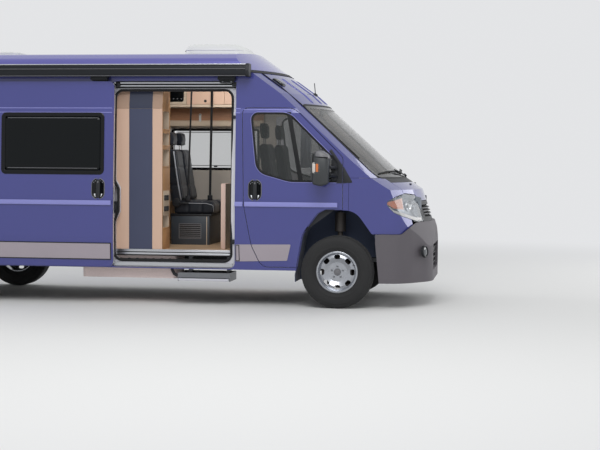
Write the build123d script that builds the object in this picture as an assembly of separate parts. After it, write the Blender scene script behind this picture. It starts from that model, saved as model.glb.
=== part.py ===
from build123d import *
import os
from functools import cache
from math import cos, radians, sin, tan

# Camper van on a long panel van. Millimetres. X forward, Y left, Z up,
# origin on the ground under the middle of the overall box.

# Overall sizes
LENGTH = 5998
HALF_WIDTH = 1025
MIRROR_REACH = 1254
FRONT_OVERHANG = 948
WHEELBASE = 4035
FRONT_TRACK = 1810
REAR_TRACK = 1790
FRONT_AXLE_X = LENGTH / 2 - FRONT_OVERHANG
REAR_AXLE_X = FRONT_AXLE_X - WHEELBASE
REAR_FACE_X = -2960

# Walls, gaps and fits
WALL = 60
DOOR_THICK = 45
DOOR_GAP = 6
SEAL_LAP = 30
NOSE_WALL = 30
GLASS = 5
GLASS_DEPTH = 4
FIT = 0.3
MOULDING_PROUD = 12
CLADDING_PROUD = 6
SKIN_HALF_WIDTH = HALF_WIDTH - MOULDING_PROUD

# Heights
SILL_Z = 380
FLOOR_UNDER_Z = 505
FLOOR_Z = 560
SEAL_LOW_Z = 2404
SEAL_HIGH_Z = 2434
CROWN_Z = 2640
CUT_HIGH_Z = 3300
SCREEN_BASE_Z = 1335
SCREEN_TOP_Z = 2078
MOULDING_LOW_Z = 1031
MOULDING_HIGH_Z = 1082
CLADDING_LOW_Z = 466
CLADDING_HIGH_Z = 641

# Front slopes: degrees from level, and the point each plane passes on the centreline
PLAN_RADIUS = 1900
FOREHEAD = (35.5, 1669, 2223)
SCREEN = (42, 2351, 1616)
BONNET = (33, SCREEN[1] + (SCREEN[2] - SCREEN_BASE_Z) / tan(radians(SCREEN[0])), SCREEN_BASE_Z)
GRILLE_FACE = (72, 2968, 850)

# Wheels
TYRE_RADIUS = 372
TYRE_HALF = 112
RIM_RADIUS = 203
RIM_HALF = 83
FLANGE_RADIUS = 212
DISC_RADIUS = 140
HUB_Z = TYRE_RADIUS
FRONT_WHEEL_Y = FRONT_TRACK / 2
REAR_WHEEL_Y = REAR_TRACK / 2
HUB_FACE = 30

# Steering axis: ball joint below, strut mount above
BALL_Y = 865
BALL_Z = 215
BALL_RADIUS = 14
ARM_RISE = 10
STRUT_TOP_Y = 705
STRUT_TOP_Z = 1000

# Sliding door and its doorway
SLIDE_REAR_X = -318
SLIDE_FRONT_X = 986
SLIDE_LOW_Z = 395
SLIDE_HIGH_Z = 2311
SLIDE_TRAVEL = 1264
SLIDE_OUT = DOOR_THICK + MOULDING_PROUD + 15
DOORWAY_REAR_X = -294
DOORWAY_FRONT_X = 945
DOORWAY_LOW_Z = 460
DOORWAY_HIGH_Z = 2221

# Front doors
DOOR_REAR_X = 1063
DOOR_FRONT_X = 2101
DOOR_TOP_Z = 2040
DOOR_LOW_Z = 416
PILLAR_X = 2166
HINGE_PLATES_Z = (1100, 1420)
LATCH_PLATE_Z = 1160
PLATE_HEIGHT = 80

# Rear doors
REAR_DOOR_HALF = 930
REAR_DOOR_LOW_Z = 545
REAR_DOOR_HIGH_Z = 2310
REAR_SPLIT_X = -2890
REAR_HINGES_Z = (600, 1380, 2110)
REAR_HINGE_X = REAR_FACE_X - 14
REAR_HINGE_Y = REAR_DOOR_HALF + 10
HINGE_RADIUS = 11
KNUCKLE = 90

# Bonnet and nose
BONNET_HALF = 760
BONNET_LOW_Z = 1095
SCUTTLE_DEPTH = 75
BUMPER_TOP_Z = 880
BUMPER_SIDE_Z = 762
BUMPER_BEAM_X = 2920
LOWER_BAR_PITCH = 52

# Awning, roof unit and step
AWNING_FRONT_X = 1143
AWNING_LENGTH = 3750
AWNING_LOW_Z = 2360
AWNING_HIGH_Z = 2484
STEP_REAR_X = 400
STEP_FRONT_X = 930
STEP_Z = 258
STEP_THICK = 23

# Tall cupboard and its open shelves
CABINET_REAR_X = -332
CABINET_FRONT_X = 195
CABINET_KINK_Z = 2090
CABINET_TOP_Z = 2330
SHELF_DEPTH = 255
SHELVES_Z = ((777, 960), (1420, 1610), (1640, 1780), (1810, 2010))

# Inner wheel arches
LINER_GAP = 6
LINER_WALL = 8
FRONT_LINER_Y = 582
REAR_LINER_Y = 690
LINER_LOW_Z = 270

# Frame rails, with the tow-bar holes behind and the towing-eye socket in front
RAIL_Y = 430
RAIL_HALF = 30
RAIL_LOW_Z = 400
RAIL_KICK_X = 1990
RAIL_KICK_Z = 430
RAIL_TOP_Z = 600
TOW_BAR_X = -2700
TOW_BAR_SPACING = 120
TOW_BAR_RADIUS = 7
TOW_EYE_Z = 550
TOW_EYE_RADIUS = 9
ENGINE_HALF = 370


def corner(before, here, after, radius):
    """Start, middle and end of the arc that rounds one corner of an outline."""
    middle = Vector(*here)
    back = (Vector(*before) - middle).normalized()
    ahead = (Vector(*after) - middle).normalized()
    if radius <= 0:
        return middle, middle, middle
    half = radians(back.get_angle(ahead)) / 2
    bisector = (back + ahead).normalized()
    reach = radius / tan(half)
    crown = middle + bisector * (radius / sin(half) - radius)
    return middle + back * reach, crown, middle + ahead * reach


def turning(rows):
    """Twice the signed area of an outline, above zero where it runs anticlockwise."""
    return sum(a[0] * b[1] - b[0] * a[1] for a, b in zip(rows, rows[1:] + rows[:1]))


def outline(rows):
    """Flat face, facing up, from rows of (across, up, corner radius)."""
    rows = rows if turning(rows) > 0 else rows[::-1]
    spots = [(row[0], row[1]) for row in rows]
    arcs = [corner(spots[i - 1], spots[i], spots[(i + 1) % len(rows)], rows[i][2]) for i in range(len(rows))]
    edges = []
    for index, (start, crown, end) in enumerate(arcs):
        if (end - start).length > 1e-6:
            edges.append(Edge.make_three_point_arc(start, crown, end))
        following = arcs[(index + 1) % len(arcs)][0]
        if (following - end).length > 1e-6:
            edges.append(Edge.make_line(end, following))
    return Face(Wire(edges))


def grown(rows, amount):
    """The same rows with every side moved outwards, or inwards if the amount is negative."""
    area = turning(rows)
    outward = amount if area > 0 else -amount
    result = []
    for index, (x, y, radius) in enumerate(rows):
        before = rows[index - 1]
        after = rows[(index + 1) % len(rows)]
        run_in = (Vector(x, y) - Vector(before[0], before[1])).normalized()
        run_out = (Vector(after[0], after[1]) - Vector(x, y)).normalized()
        turn = run_in.X * run_out.Y - run_in.Y * run_out.X
        spread = 1 + run_in.X * run_out.X + run_in.Y * run_out.Y
        moved_x = x + outward * (run_in.Y + run_out.Y) / spread
        moved_y = y - outward * (run_in.X + run_out.X) / spread
        convex = turn * area > 0
        result.append((moved_x, moved_y, max(radius + (amount if convex else -amount), 0) if radius else 0))
    return result


def side_slab(rows, y_low, y_high):
    """Solid whose X-Z outline is given by the rows."""
    plane = Plane((0, y_high, 0), x_dir=(1, 0, 0), z_dir=(0, -1, 0))
    return Solid.extrude(plane * outline(rows), Vector(0, y_low - y_high, 0))


def front_slab(rows, x_low, x_high):
    """Solid whose Y-Z outline is given by the rows."""
    plane = Plane((x_low, 0, 0), x_dir=(0, 1, 0), z_dir=(1, 0, 0))
    return Solid.extrude(plane * outline(rows), Vector(x_high - x_low, 0, 0))


def top_slab(rows, z_low, z_high):
    """Solid whose X-Y outline is given by the rows."""
    return Solid.extrude(Pos(0, 0, z_low) * outline(rows), Vector(0, 0, z_high - z_low))


def block(x_low, x_high, y_low, y_high, z_low, z_high):
    """Box between two corners."""
    size = (x_high - x_low, y_high - y_low, z_high - z_low)
    middle = ((x_low + x_high) / 2, (y_low + y_high) / 2, (z_low + z_high) / 2)
    return Pos(*middle) * Box(*size)


def rod(start, end, radius):
    """Round bar from one point to another."""
    start, end = Vector(*start), Vector(*end)
    run = end - start
    return extrude(Plane(start, z_dir=run) * Circle(radius), run.length)


def mirrored(shape):
    """The same piece on the other side of the vehicle."""
    return mirror(shape, about=Plane.XZ)


def solids(*shapes):
    """Separate solids kept together as one piece."""
    return Compound(children=[solid for shape in shapes for solid in shape.solids()])


def both_sides(shape):
    """A piece and its mirror image as one set of solids."""
    return solids(shape, mirrored(shape))


def slope_prism(slope, inset):
    """Everything behind a sloping front whose plan is a wide arc."""
    angle, x_at, z_at = slope
    tip_x = x_at + z_at / tan(radians(angle)) - inset / sin(radians(angle))
    half = HALF_WIDTH + 125
    back_x = tip_x - PLAN_RADIUS + (PLAN_RADIUS ** 2 - half ** 2) ** 0.5
    rear_x = -3 * LENGTH
    edges = [
        Edge.make_three_point_arc((back_x, -half), (tip_x, 0), (back_x, half)),
        Edge.make_line((back_x, half), (rear_x, half)),
        Edge.make_line((rear_x, half), (rear_x, -half)),
        Edge.make_line((rear_x, -half), (back_x, -half)),
    ]
    run = CUT_HIGH_Z / tan(radians(angle))
    return Solid.extrude(Face(Wire(edges)), Vector(-run, 0, CUT_HIGH_Z))


def section_rows(inset):
    """Cross-section of the body with its waist, crease and crown."""
    right = [(985, 200, 0), (1003, 470, 80), (SKIN_HALF_WIDTH, 700, 200), (SKIN_HALF_WIDTH, 1090, 200),
             (1003, 1340, 200), (977, 1990, 12), (966, 2036, 12), (956, 2430, 60), (915, 2545, 90),
             (790, 2608, 160), (300, CROWN_Z - 2, 500)]
    left = [(-y, z, r) for y, z, r in reversed(right)]
    return grown(right + left, -inset)


def plan_rows(inset):
    """Plan of the body with its rear corners and rounded nose."""
    left = [(REAR_FACE_X, SKIN_HALF_WIDTH + 3, 70), (1750, SKIN_HALF_WIDTH + 3, 2500),
            (2700, 968, 330), (2975, 560, 420)]
    right = [(x, -y, r) for x, y, r in reversed(left)]
    return grown(left + right, -inset)


@cache
def envelope(inset):
    """Outer form of the whole body, or a smaller one inside it."""
    body = front_slab(section_rows(inset), -3100, 3100) & top_slab(plan_rows(inset), 150, 2900)
    cab = slope_prism(FOREHEAD, inset) & slope_prism(SCREEN, inset)
    cab = cab & block(-3200, 3200, -1300, 1300, SCREEN_BASE_Z, 3000)
    nose = slope_prism(BONNET, inset) & slope_prism(GRILLE_FACE, inset)
    nose = nose & block(-3200, 3200, -1300, 1300, 100, SCREEN_BASE_Z)
    return body & (cab + nose)


@cache
def layer(proud, depth):
    """Layer that follows the outer form, from above the skin down to a depth."""
    return envelope(-proud) - envelope(depth)


SHELL = layer(0, WALL)
DOOR_LAYER = layer(0, DOOR_THICK)
NOSE_LAYER = layer(0, NOSE_WALL)
FRAME_LAYER = layer(8, 28)
CLADDING_LAYER = layer(CLADDING_PROUD, -FIT)
MOULDING_LAYER = layer(MOULDING_PROUD, 20)
GLASS_LAYER = layer(-GLASS_DEPTH, GLASS_DEPTH + GLASS)
SEAT_DEPTH = envelope(DOOR_THICK + 5)
ROOM = envelope(WALL + FIT)

# Side outlines: X, Z, corner radius
FRONT_ARCH = [(1622, 250, 0), (1622, 330, 60), (1700, 760, 240), (1880, 1004, 150),
              (2230, 1004, 200), (2435, 720, 220), (2482, 250, 0)]
REAR_ARCH = [(-2402, 250, 0), (-2360, 740, 240), (-2200, 930, 130), (-1768, 930, 130),
             (-1608, 740, 240), (-1566, 250, 0)]
FRONT_DOOR = [(DOOR_REAR_X, DOOR_TOP_Z, 60), (1600, DOOR_TOP_Z, 200), (DOOR_FRONT_X, 1541, 60),
              (DOOR_FRONT_X, DOOR_LOW_Z, 0), (1275, DOOR_LOW_Z, 110), (1166, 640, 300),
              (1085, 1050, 200)]
DOOR_WINDOW = [(1148, 1993, 70), (1545, 1993, 190), (2058, 1488, 25), (2058, 1290, 25),
               (1560, 1290, 380), (1215, 1385, 150)]
WINDOW_BAR = [(1527, 2010, 0), (1557, 2010, 0), (1692, 1270, 0), (1662, 1270, 0)]
DOOR_HANDLE = [(1135, 1304, 60), (1265, 1304, 60), (1265, 1098, 60), (1135, 1098, 60)]
SLIDE_HANDLE = [(762, 1304, 60), (892, 1304, 60), (892, 1098, 60), (762, 1098, 60)]
SLIDE_DOOR = [(SLIDE_REAR_X, SLIDE_HIGH_Z, 60), (SLIDE_FRONT_X, SLIDE_HIGH_Z, 60),
              (SLIDE_FRONT_X, SLIDE_LOW_Z, 60), (SLIDE_REAR_X, SLIDE_LOW_Z, 60)]
DOORWAY = [(DOORWAY_REAR_X, DOORWAY_HIGH_Z, 80), (DOORWAY_FRONT_X, DOORWAY_HIGH_Z, 80),
           (DOORWAY_FRONT_X, DOORWAY_LOW_Z, 80), (DOORWAY_REAR_X, DOORWAY_LOW_Z, 80)]
SLIDE_WINDOW = [(-210, 1977, 40), (876, 1977, 40), (876, 1358, 40), (-210, 1358, 40)]
LIVING_WINDOW = [(-150, 1870, 40), (900, 1870, 40), (900, 1385, 40), (-150, 1385, 40)]
REAR_WINDOW = [(-2700, 1900, 40), (-1850, 1900, 40), (-1850, 1500, 40), (-2700, 1500, 40)]
DOOR_CLADDING = [(999, 641, 10), (1576, 649, 10), (1538, 482, 10), (999, 466, 10)]
LAMP = [(2530, 1085, 40), (2700, 1178, 120), (3050, 1096, 0), (3050, 884, 0), (2840, 884, 80),
        (2620, 985, 120)]
BUMPER = [(2440, 265, 0), (3050, 265, 0), (3050, BUMPER_TOP_Z, 0), (2835, BUMPER_TOP_Z, 60),
          (2700, BUMPER_SIDE_Z, 60), (2440, BUMPER_SIDE_Z, 0)]

# Front and rear outlines: Y, Z, corner radius
REAR_DOORS = [(-REAR_DOOR_HALF, REAR_DOOR_HIGH_Z, 60), (REAR_DOOR_HALF, REAR_DOOR_HIGH_Z, 60),
              (REAR_DOOR_HALF, REAR_DOOR_LOW_Z, 60), (-REAR_DOOR_HALF, REAR_DOOR_LOW_Z, 60)]
REAR_GLASS = [(150, 2000, 50), (790, 2000, 50), (810, 1420, 50), (150, 1420, 50)]
SCREEN_OPENING = [(-880, SCREEN_BASE_Z, 0), (880, SCREEN_BASE_Z, 0), (818, SCREEN_TOP_Z, 0),
                  (-818, SCREEN_TOP_Z, 0)]
HEADER_OPENING = [(-818, SCREEN_TOP_Z, 0), (818, SCREEN_TOP_Z, 0), (818, 2500, 0), (-818, 2500, 0)]
UPPER_INTAKE = [(-400, 1050, 30), (400, 1050, 30), (380, 925, 30), (-380, 925, 30)]
LOWER_INTAKE = [(-470, 640, 50), (470, 640, 50), (430, 370, 50), (-430, 370, 50)]


def rub_rail(x_low, x_high):
    """Painted rub rail along the left flank."""
    return block(x_low, x_high, 900, 1100, MOULDING_LOW_Z, MOULDING_HIGH_Z) & MOULDING_LAYER


def door_seat(rows):
    """Room for a flush door in the left flank, with a seal flange left behind it."""
    recess = side_slab(grown(rows, DOOR_GAP), 700, 1200) - SEAT_DEPTH
    return recess + side_slab(grown(rows, -SEAL_LAP), 700, 1200)


def wheel_openings():
    """Both wheel openings through the left flank."""
    return side_slab(FRONT_ARCH, 300, 1200) + side_slab(REAR_ARCH, 300, 1200)


def door_plates():
    """Hinge and latch plates that a shut front door lies against."""
    places = [(DOOR_FRONT_X - SEAL_LAP, z) for z in HINGE_PLATES_Z]
    places += [(DOOR_REAR_X + 4, LATCH_PLATE_Z)]
    width = SEAL_LAP - 2
    slabs = [block(x, x + width, 900, 1100, z, z + PLATE_HEIGHT) for x, z in places]
    plates = slabs[0] + slabs[1] + slabs[2]
    return plates & envelope(DOOR_THICK + FIT) - envelope(DOOR_THICK + 8)


def flank():
    """Left flank with what both sides share: front door, wheel openings, rear window and screen edge."""
    low = block(REAR_SPLIT_X, PILLAR_X - 3, 300, 1100, SILL_Z, SCREEN_BASE_Z)
    high = block(REAR_SPLIT_X, 2700, 300, 1100, SCREEN_BASE_Z, SEAL_LOW_Z)
    panel = SHELL & (low + high)
    panel -= front_slab(SCREEN_OPENING, 900, 3000) + front_slab(HEADER_OPENING, 900, 3000)
    seat = door_seat(FRONT_DOOR)
    behind_arch = side_slab(grown(FRONT_ARCH, SEAL_LAP), 700, 1200) & SEAT_DEPTH
    panel -= seat - behind_arch
    panel += door_plates()
    panel -= wheel_openings()
    return panel - side_slab(REAR_WINDOW, 700, 1200)


def side_panel_left():
    """Closed flank with a window by the bench."""
    panel = flank() - side_slab(LIVING_WINDOW, 700, 1200)
    return panel + rub_rail(REAR_SPLIT_X, DOOR_REAR_X - DOOR_GAP)


def side_panel_right():
    """Flank with the wide doorway, its recess and its seal flange."""
    recess = side_slab(grown(SLIDE_DOOR, DOOR_GAP), 700, 1200) - SEAT_DEPTH
    panel = flank() - recess - side_slab(DOORWAY, 700, 1200)
    panel += rub_rail(REAR_SPLIT_X, SLIDE_REAR_X - SLIDE_TRAVEL - 10)
    return mirrored(panel + rub_rail(SLIDE_FRONT_X + DOOR_GAP, DOOR_REAR_X - DOOR_GAP))


def roof_cap():
    """Raised roof moulding above the seal."""
    return SHELL & block(-3100, 3100, -1100, 1100, SEAL_HIGH_Z, 2800)


def roof_seal():
    """Rubber band between the roof moulding and the body."""
    ring = layer(4, 40)
    return ring & block(-3100, 3100, -1100, 1100, SEAL_LOW_Z + FIT, SEAL_HIGH_Z - FIT)


def cab_header():
    """Sloping panel over the windscreen."""
    zone = front_slab(grown(HEADER_OPENING, -FIT), 900, 3000)
    return SHELL & zone & block(900, 3000, -1000, 1000, SCREEN_TOP_Z, SEAL_LOW_Z)


def windscreen():
    """Curved glass down to the scuttle."""
    return layer(0, GLASS + 2) & front_slab(grown(SCREEN_OPENING, -FIT), 1300, 3000)


def rear_hinge(z):
    """One barrel of a rear door hinge, standing on a height."""
    return rod((REAR_HINGE_X, REAR_HINGE_Y, z), (REAR_HINGE_X, REAR_HINGE_Y, z + KNUCKLE), HINGE_RADIUS)


def rear_frame():
    """Rear door surround with the corner posts and the fixed halves of the hinges."""
    frame = SHELL & block(-3100, REAR_SPLIT_X - FIT, -1100, 1100, 480, SEAL_LOW_Z)
    frame -= front_slab(grown(REAR_DOORS, DOOR_GAP), -3100, -2800) - SEAT_DEPTH
    frame -= front_slab(grown(REAR_DOORS, -SEAL_LAP), -3100, -2800)
    pocket = block(-3100, REAR_SPLIT_X - 4, 943.7, 1100, 829.7, 1330.3) - envelope(40 + FIT)
    frame -= pocket + mirrored(pocket)
    for z in REAR_HINGES_Z:
        knuckle = rear_hinge(z + KNUCKLE + FIT)
        knuckle += block(REAR_HINGE_X - 5, REAR_FACE_X + 20, REAR_HINGE_Y, REAR_HINGE_Y + 8,
                         z + KNUCKLE + FIT, z + 2 * KNUCKLE)
        frame += knuckle + mirrored(knuckle)
    return frame


def tail_lamps():
    """Upright lamps in the corner posts."""
    lamp = block(-3100, REAR_SPLIT_X - 4.3, 944, 1100, 830, 1330) & layer(3, 40)
    return both_sides(lamp)


def rear_bumper():
    """Plastic bumper with a flat step on top, open below."""
    rows = [(-2894, 1008, 0), (-2960, 1008, 60), (-2999, 900, 60)]
    rows += [(x, -y, r) for x, y, r in reversed(rows)]
    outer = top_slab(rows, 340, 480 - FIT)
    return outer - block(-2965, -2800, -930, 930, 300, 450)


def arch_room(rows, inner_y):
    """Room that the inner wheel arches take up on both sides."""
    room = side_slab(grown(rows, LINER_GAP + LINER_WALL + FIT), inner_y - FIT, 1200)
    return room + mirrored(room)


def floor_pan():
    """Floor between the flanks, with the channel under the doorway."""
    pan = block(REAR_SPLIT_X, PILLAR_X, -1000, 1000, FLOOR_UNDER_Z, FLOOR_Z) & ROOM
    pan -= block(DOORWAY_REAR_X, DOORWAY_FRONT_X, -1000, -905, 500, 600)
    return pan - arch_room(REAR_ARCH, REAR_LINER_Y) - arch_room(FRONT_ARCH, FRONT_LINER_Y)


def frame_rails():
    """Rails under the floor that kick up past the front wheels to the beam behind the bumper."""
    rails = layer(-10 - FIT, WALL) & block(2700, 3000, -600, 600, 515, 585)
    under_z = FLOOR_UNDER_Z - FIT
    for y in (-RAIL_Y, RAIL_Y):
        low, high = y - RAIL_HALF, y + RAIL_HALF
        rails += block(-2850, RAIL_KICK_X, low, high, RAIL_LOW_Z, under_z)
        rails += block(RAIL_KICK_X, PILLAR_X + 80, low, high, RAIL_KICK_Z, under_z)
        rails += block(PILLAR_X + FIT, BUMPER_BEAM_X, low, high, under_z - 20, RAIL_TOP_Z)
        for x in (TOW_BAR_X - TOW_BAR_SPACING / 2, TOW_BAR_X + TOW_BAR_SPACING / 2):
            rails -= rod((x, y, RAIL_LOW_Z - 10), (x, y, RAIL_LOW_Z + 50), TOW_BAR_RADIUS)
    mount = block(2400, 2500, ENGINE_HALF + FIT, RAIL_Y - RAIL_HALF + 10, 520, 580)
    rails += mount + mirrored(mount)
    rails -= rod((BUMPER_BEAM_X - 50, -RAIL_Y, TOW_EYE_Z), (3000, -RAIL_Y, TOW_EYE_Z), TOW_EYE_RADIUS)
    return rails - rod((BUMPER_BEAM_X + 30, -RAIL_Y, TOW_EYE_Z), (3000, -RAIL_Y, TOW_EYE_Z), 2 * TOW_EYE_RADIUS)


def arch_liner(rows, inner_y):
    """Left inner wheel arch, open below and on the outside."""
    outer = side_slab(grown(rows, LINER_GAP + LINER_WALL), inner_y, 1100)
    return outer - side_slab(grown(rows, LINER_GAP), inner_y + LINER_WALL, 1100)


def wheel_liners():
    """Inner arches of all four wheels, under the floor, the flanks and the front wings."""
    rear = arch_liner(REAR_ARCH, REAR_LINER_Y) & block(-2600, -1400, 0, 1100, FLOOR_UNDER_Z, 1100) & ROOM
    front = arch_liner(FRONT_ARCH, FRONT_LINER_Y)
    wing_room = envelope(NOSE_WALL + FIT) & block(PILLAR_X, 3000, -1100, 1100, LINER_LOW_Z, 1100)
    front = (front & ROOM) + (front & wing_room)
    front -= block(1700, 2600, 500, FRONT_LINER_Y + 10, 200, FLOOR_UNDER_Z)
    return solids(rear, mirrored(rear), front, mirrored(front))


def scuttle_edge(tip_x):
    """Everything behind the rear edge of the bonnet."""
    half = HALF_WIDTH + 125
    back_x = tip_x - PLAN_RADIUS + (PLAN_RADIUS ** 2 - half ** 2) ** 0.5
    edges = [
        Edge.make_three_point_arc((back_x, -half), (tip_x, 0), (back_x, half)),
        Edge.make_line((back_x, half), (0, half)),
        Edge.make_line((0, half), (0, -half)),
        Edge.make_line((0, -half), (back_x, -half)),
    ]
    return Solid.extrude(Face(Wire(edges)), Vector(0, 0, 2000))


def bulkhead():
    """Wall between cab and engine, with the tray and the black scuttle under the windscreen."""
    wall = block(PILLAR_X + FIT, PILLAR_X + 30, -1000, 1000, FLOOR_UNDER_Z, 1300) & ROOM
    wall -= arch_room(FRONT_ARCH, FRONT_LINER_Y)
    for y in (-RAIL_Y, RAIL_Y):
        wall -= block(2000, 2900, y - RAIL_HALF - FIT, y + RAIL_HALF + FIT, RAIL_LOW_Z, RAIL_TOP_Z + FIT)
    tray = block(PILLAR_X + FIT, 2700, -755, 755, 1280, 1300) & envelope(NOSE_WALL - 5)
    zone = block(PILLAR_X, 3000, -BONNET_HALF + 3, BONNET_HALF - 3, 1000, SCREEN_BASE_Z)
    scuttle = NOSE_LAYER & zone & scuttle_edge(BONNET[1] + SCUTTLE_DEPTH - DOOR_GAP)
    hinge = block(2540, 2630, 690, 712, 1215, 1300) & envelope(NOSE_WALL + FIT)
    hinge += block(2540, 2592, 690, 712, 1215, 1300) & envelope(NOSE_WALL / 2)
    return wall + tray + scuttle + hinge + mirrored(hinge)


def lamp_slabs(growth, y_low):
    """Both headlamp outlines as slabs."""
    slab = side_slab(grown(LAMP, growth), y_low, 1200)
    return slab + mirrored(slab)


def bonnet():
    """Short steep bonnet between the lamps."""
    zone = block(2200, 3100, -BONNET_HALF, BONNET_HALF, BONNET_LOW_Z, SCREEN_BASE_Z)
    panel = NOSE_LAYER & (zone - scuttle_edge(BONNET[1] + SCUTTLE_DEPTH))
    return panel - lamp_slabs(DOOR_GAP, 480)


def headlamps():
    """Swept-back lamps that wrap the front corners."""
    lamp = side_slab(grown(LAMP, -FIT), 487, 1200) & layer(0, 80)
    return both_sides(lamp)


def front_wings():
    """Panels over the front wheels, from the pillars to the lamps."""
    wing = NOSE_LAYER & block(PILLAR_X, 3100, BONNET_HALF + DOOR_GAP, 1100, 300, SCREEN_BASE_Z - 3)
    wing -= side_slab(FRONT_ARCH, 300, 1200)
    wing -= side_slab(LAMP, 400, 1200)
    wing -= side_slab(grown(BUMPER, 3), 300, 1200)
    wing -= block(2000, 3100, 300, 1100, 200, BUMPER_SIDE_Z + 3)
    return both_sides(wing)


def front_bumper():
    """Wrap-round bumper with its lower intake."""
    skin = layer(24, 10) & side_slab(BUMPER, -1200, 1200)
    skin -= side_slab(FRONT_ARCH, -1200, 1200)
    return skin - front_slab(LOWER_INTAKE, 2700, 3100)


def grille():
    """Upper grille panel with level bars, and the bars of the lower intake."""
    panel = NOSE_LAYER & block(2700, 3100, -483, 483, BUMPER_TOP_Z + FIT, BONNET_LOW_Z - DOOR_GAP)
    panel -= front_slab(UPPER_INTAKE, 2600, 3100)
    for step in range(3):
        z = 947 + 31 * step
        panel += block(2700, 3100, -400, 400, z, z + 12) & layer(-4, 24)
    intake = layer(-2, 9.5) & front_slab(grown(LOWER_INTAKE, -FIT), 2700, 3100)
    middles = [TOW_EYE_Z + LOWER_BAR_PITCH * (step + 0.5) for step in range(-3, 2)]
    bars = [intake & block(2700, 3100, -600, 600, z - 7, z + 7) for z in middles]
    return solids(panel, *bars)


def handle_pocket(rows):
    """Oval hollow behind a door handle."""
    return side_slab(rows, 700, 1200) - envelope(18)


def handle_grip(rows):
    """Upright grip across the hollow."""
    middle = (rows[0][0] + rows[1][0]) / 2
    bar = [(middle - 17, 1310, 12), (middle + 17, 1310, 12), (middle + 17, 1092, 12), (middle - 17, 1092, 12)]
    return side_slab(bar, 700, 1200) & layer(6, 20)


def front_door():
    """Left front door panel with its window opening and division bar."""
    panel = DOOR_LAYER & side_slab(FRONT_DOOR, 700, 1200)
    panel -= side_slab(grown(FRONT_ARCH, 8), 700, 1200)
    panel -= side_slab(DOOR_WINDOW, 700, 1200)
    panel += side_slab(WINDOW_BAR, 700, 1200) & layer(-1, 30)
    panel += rub_rail(DOOR_REAR_X + 30, 2061)
    return panel - handle_pocket(DOOR_HANDLE) + handle_grip(DOOR_HANDLE)


def front_door_glass():
    """Fixed quarter light and sliding pane of a front door."""
    pane = GLASS_LAYER & side_slab(grown(DOOR_WINDOW, -FIT), 700, 1200)
    return pane - side_slab(grown(WINDOW_BAR, FIT), 700, 1200)


def door_cladding():
    """Grey guard along the foot of a front door."""
    plate = CLADDING_LAYER & side_slab(DOOR_CLADDING, 700, 1200)
    return plate & side_slab(grown(FRONT_DOOR, -1), 700, 1200)


def door_mirror():
    """Tall mirror head on its arm and foot."""
    head = [(1815, 1612, 60), (1950, 1600, 50), (1990, 1560, 60), (1990, 1290, 50), (1815, 1275, 60)]
    shell = side_slab(head, 1110, MIRROR_REACH)
    arm = block(1960, 2060, 1010.5, 1150, 1330, 1385)
    arm += block(1960, 2060, 1080, 1150, 1330, 1480)
    foot = side_slab([(2000, 1450, 20), (2050, 1450, 20), (2085, 1320, 20), (1990, 1300, 20)], 990, 1030)
    foot = foot - envelope(-FIT)
    return shell + arm + foot


def slid_open(shape):
    """Right-hand piece moved from the closed to the open place of the sliding door."""
    return Pos(-SLIDE_TRAVEL, -SLIDE_OUT, 0) * mirrored(shape)


def sliding_door():
    """Sliding door panel, standing open behind its doorway."""
    panel = DOOR_LAYER & side_slab(SLIDE_DOOR, 700, 1200)
    panel -= side_slab(SLIDE_WINDOW, 700, 1200)
    panel += rub_rail(SLIDE_REAR_X + 12, SLIDE_FRONT_X - 12)
    return slid_open(panel - handle_pocket(SLIDE_HANDLE) + handle_grip(SLIDE_HANDLE))


def framed_window(rows):
    """Hinged acrylic window with its frame in the left flank."""
    return FRAME_LAYER & side_slab(grown(rows, -FIT), 700, 1200)


def body_windows():
    """Windows of the living space, the rear and the sliding door."""
    return solids(framed_window(LIVING_WINDOW), framed_window(REAR_WINDOW),
                  mirrored(framed_window(REAR_WINDOW)), slid_open(framed_window(SLIDE_WINDOW)))


def door_rails():
    """Upper, middle and lower rails of the sliding door with its three arms."""
    upper = block(SLIDE_REAR_X + 24, SLIDE_FRONT_X - 24, 700, 1100, 2243, 2303) & envelope(22)
    lower = block(SLIDE_REAR_X + 24, SLIDE_FRONT_X - 24, 700, 1100, 403, 440) & envelope(22)
    upper -= envelope(DOOR_THICK + 5 - FIT)
    lower -= envelope(DOOR_THICK + 5 - FIT)
    middle = block(-1570, SLIDE_REAR_X - 12, 900, 1100, 1040, 1072) & layer(13, -FIT)
    arm_front = SLIDE_FRONT_X - SLIDE_TRAVEL - 8
    door_back = envelope(DOOR_THICK + FIT - SLIDE_OUT)
    upper += block(arm_front - 30, arm_front, 930, 1100, 2236, 2258) & door_back - envelope(24)
    lower += block(arm_front - 30, arm_front, 960, 1100, 424, 444) & door_back - envelope(24)
    middle += block(-1560, -1500, 1015, 1100, 1045, 1067) & door_back - envelope(-5)
    return mirrored(solids(upper, middle, lower))


def side_cladding():
    """Grey guards on the flanks, the door pillars and the sliding door."""
    pillar = side_slab(DOOR_CLADDING, 700, 1200) - side_slab(grown(FRONT_DOOR, DOOR_GAP + 1), 700, 1200)
    low, high = CLADDING_LOW_Z, CLADDING_HIGH_Z
    tail = block(-2880, -2412, 700, 1200, low, high)
    quarter = block(-1558, SLIDE_REAR_X - 12, 700, 1200, low, high)
    long_side = block(-1558, 1000, 700, 1200, low, high)
    door = block(SLIDE_REAR_X + 12, SLIDE_FRONT_X - 20, 700, 1200, low, high)
    left = CLADDING_LAYER & (tail + long_side + pillar)
    right = CLADDING_LAYER & (tail + quarter + pillar)
    right -= side_slab(grown(SLIDE_DOOR, DOOR_GAP + 1), 700, 1200)
    return solids(left, mirrored(right), slid_open(CLADDING_LAYER & door))


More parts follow.
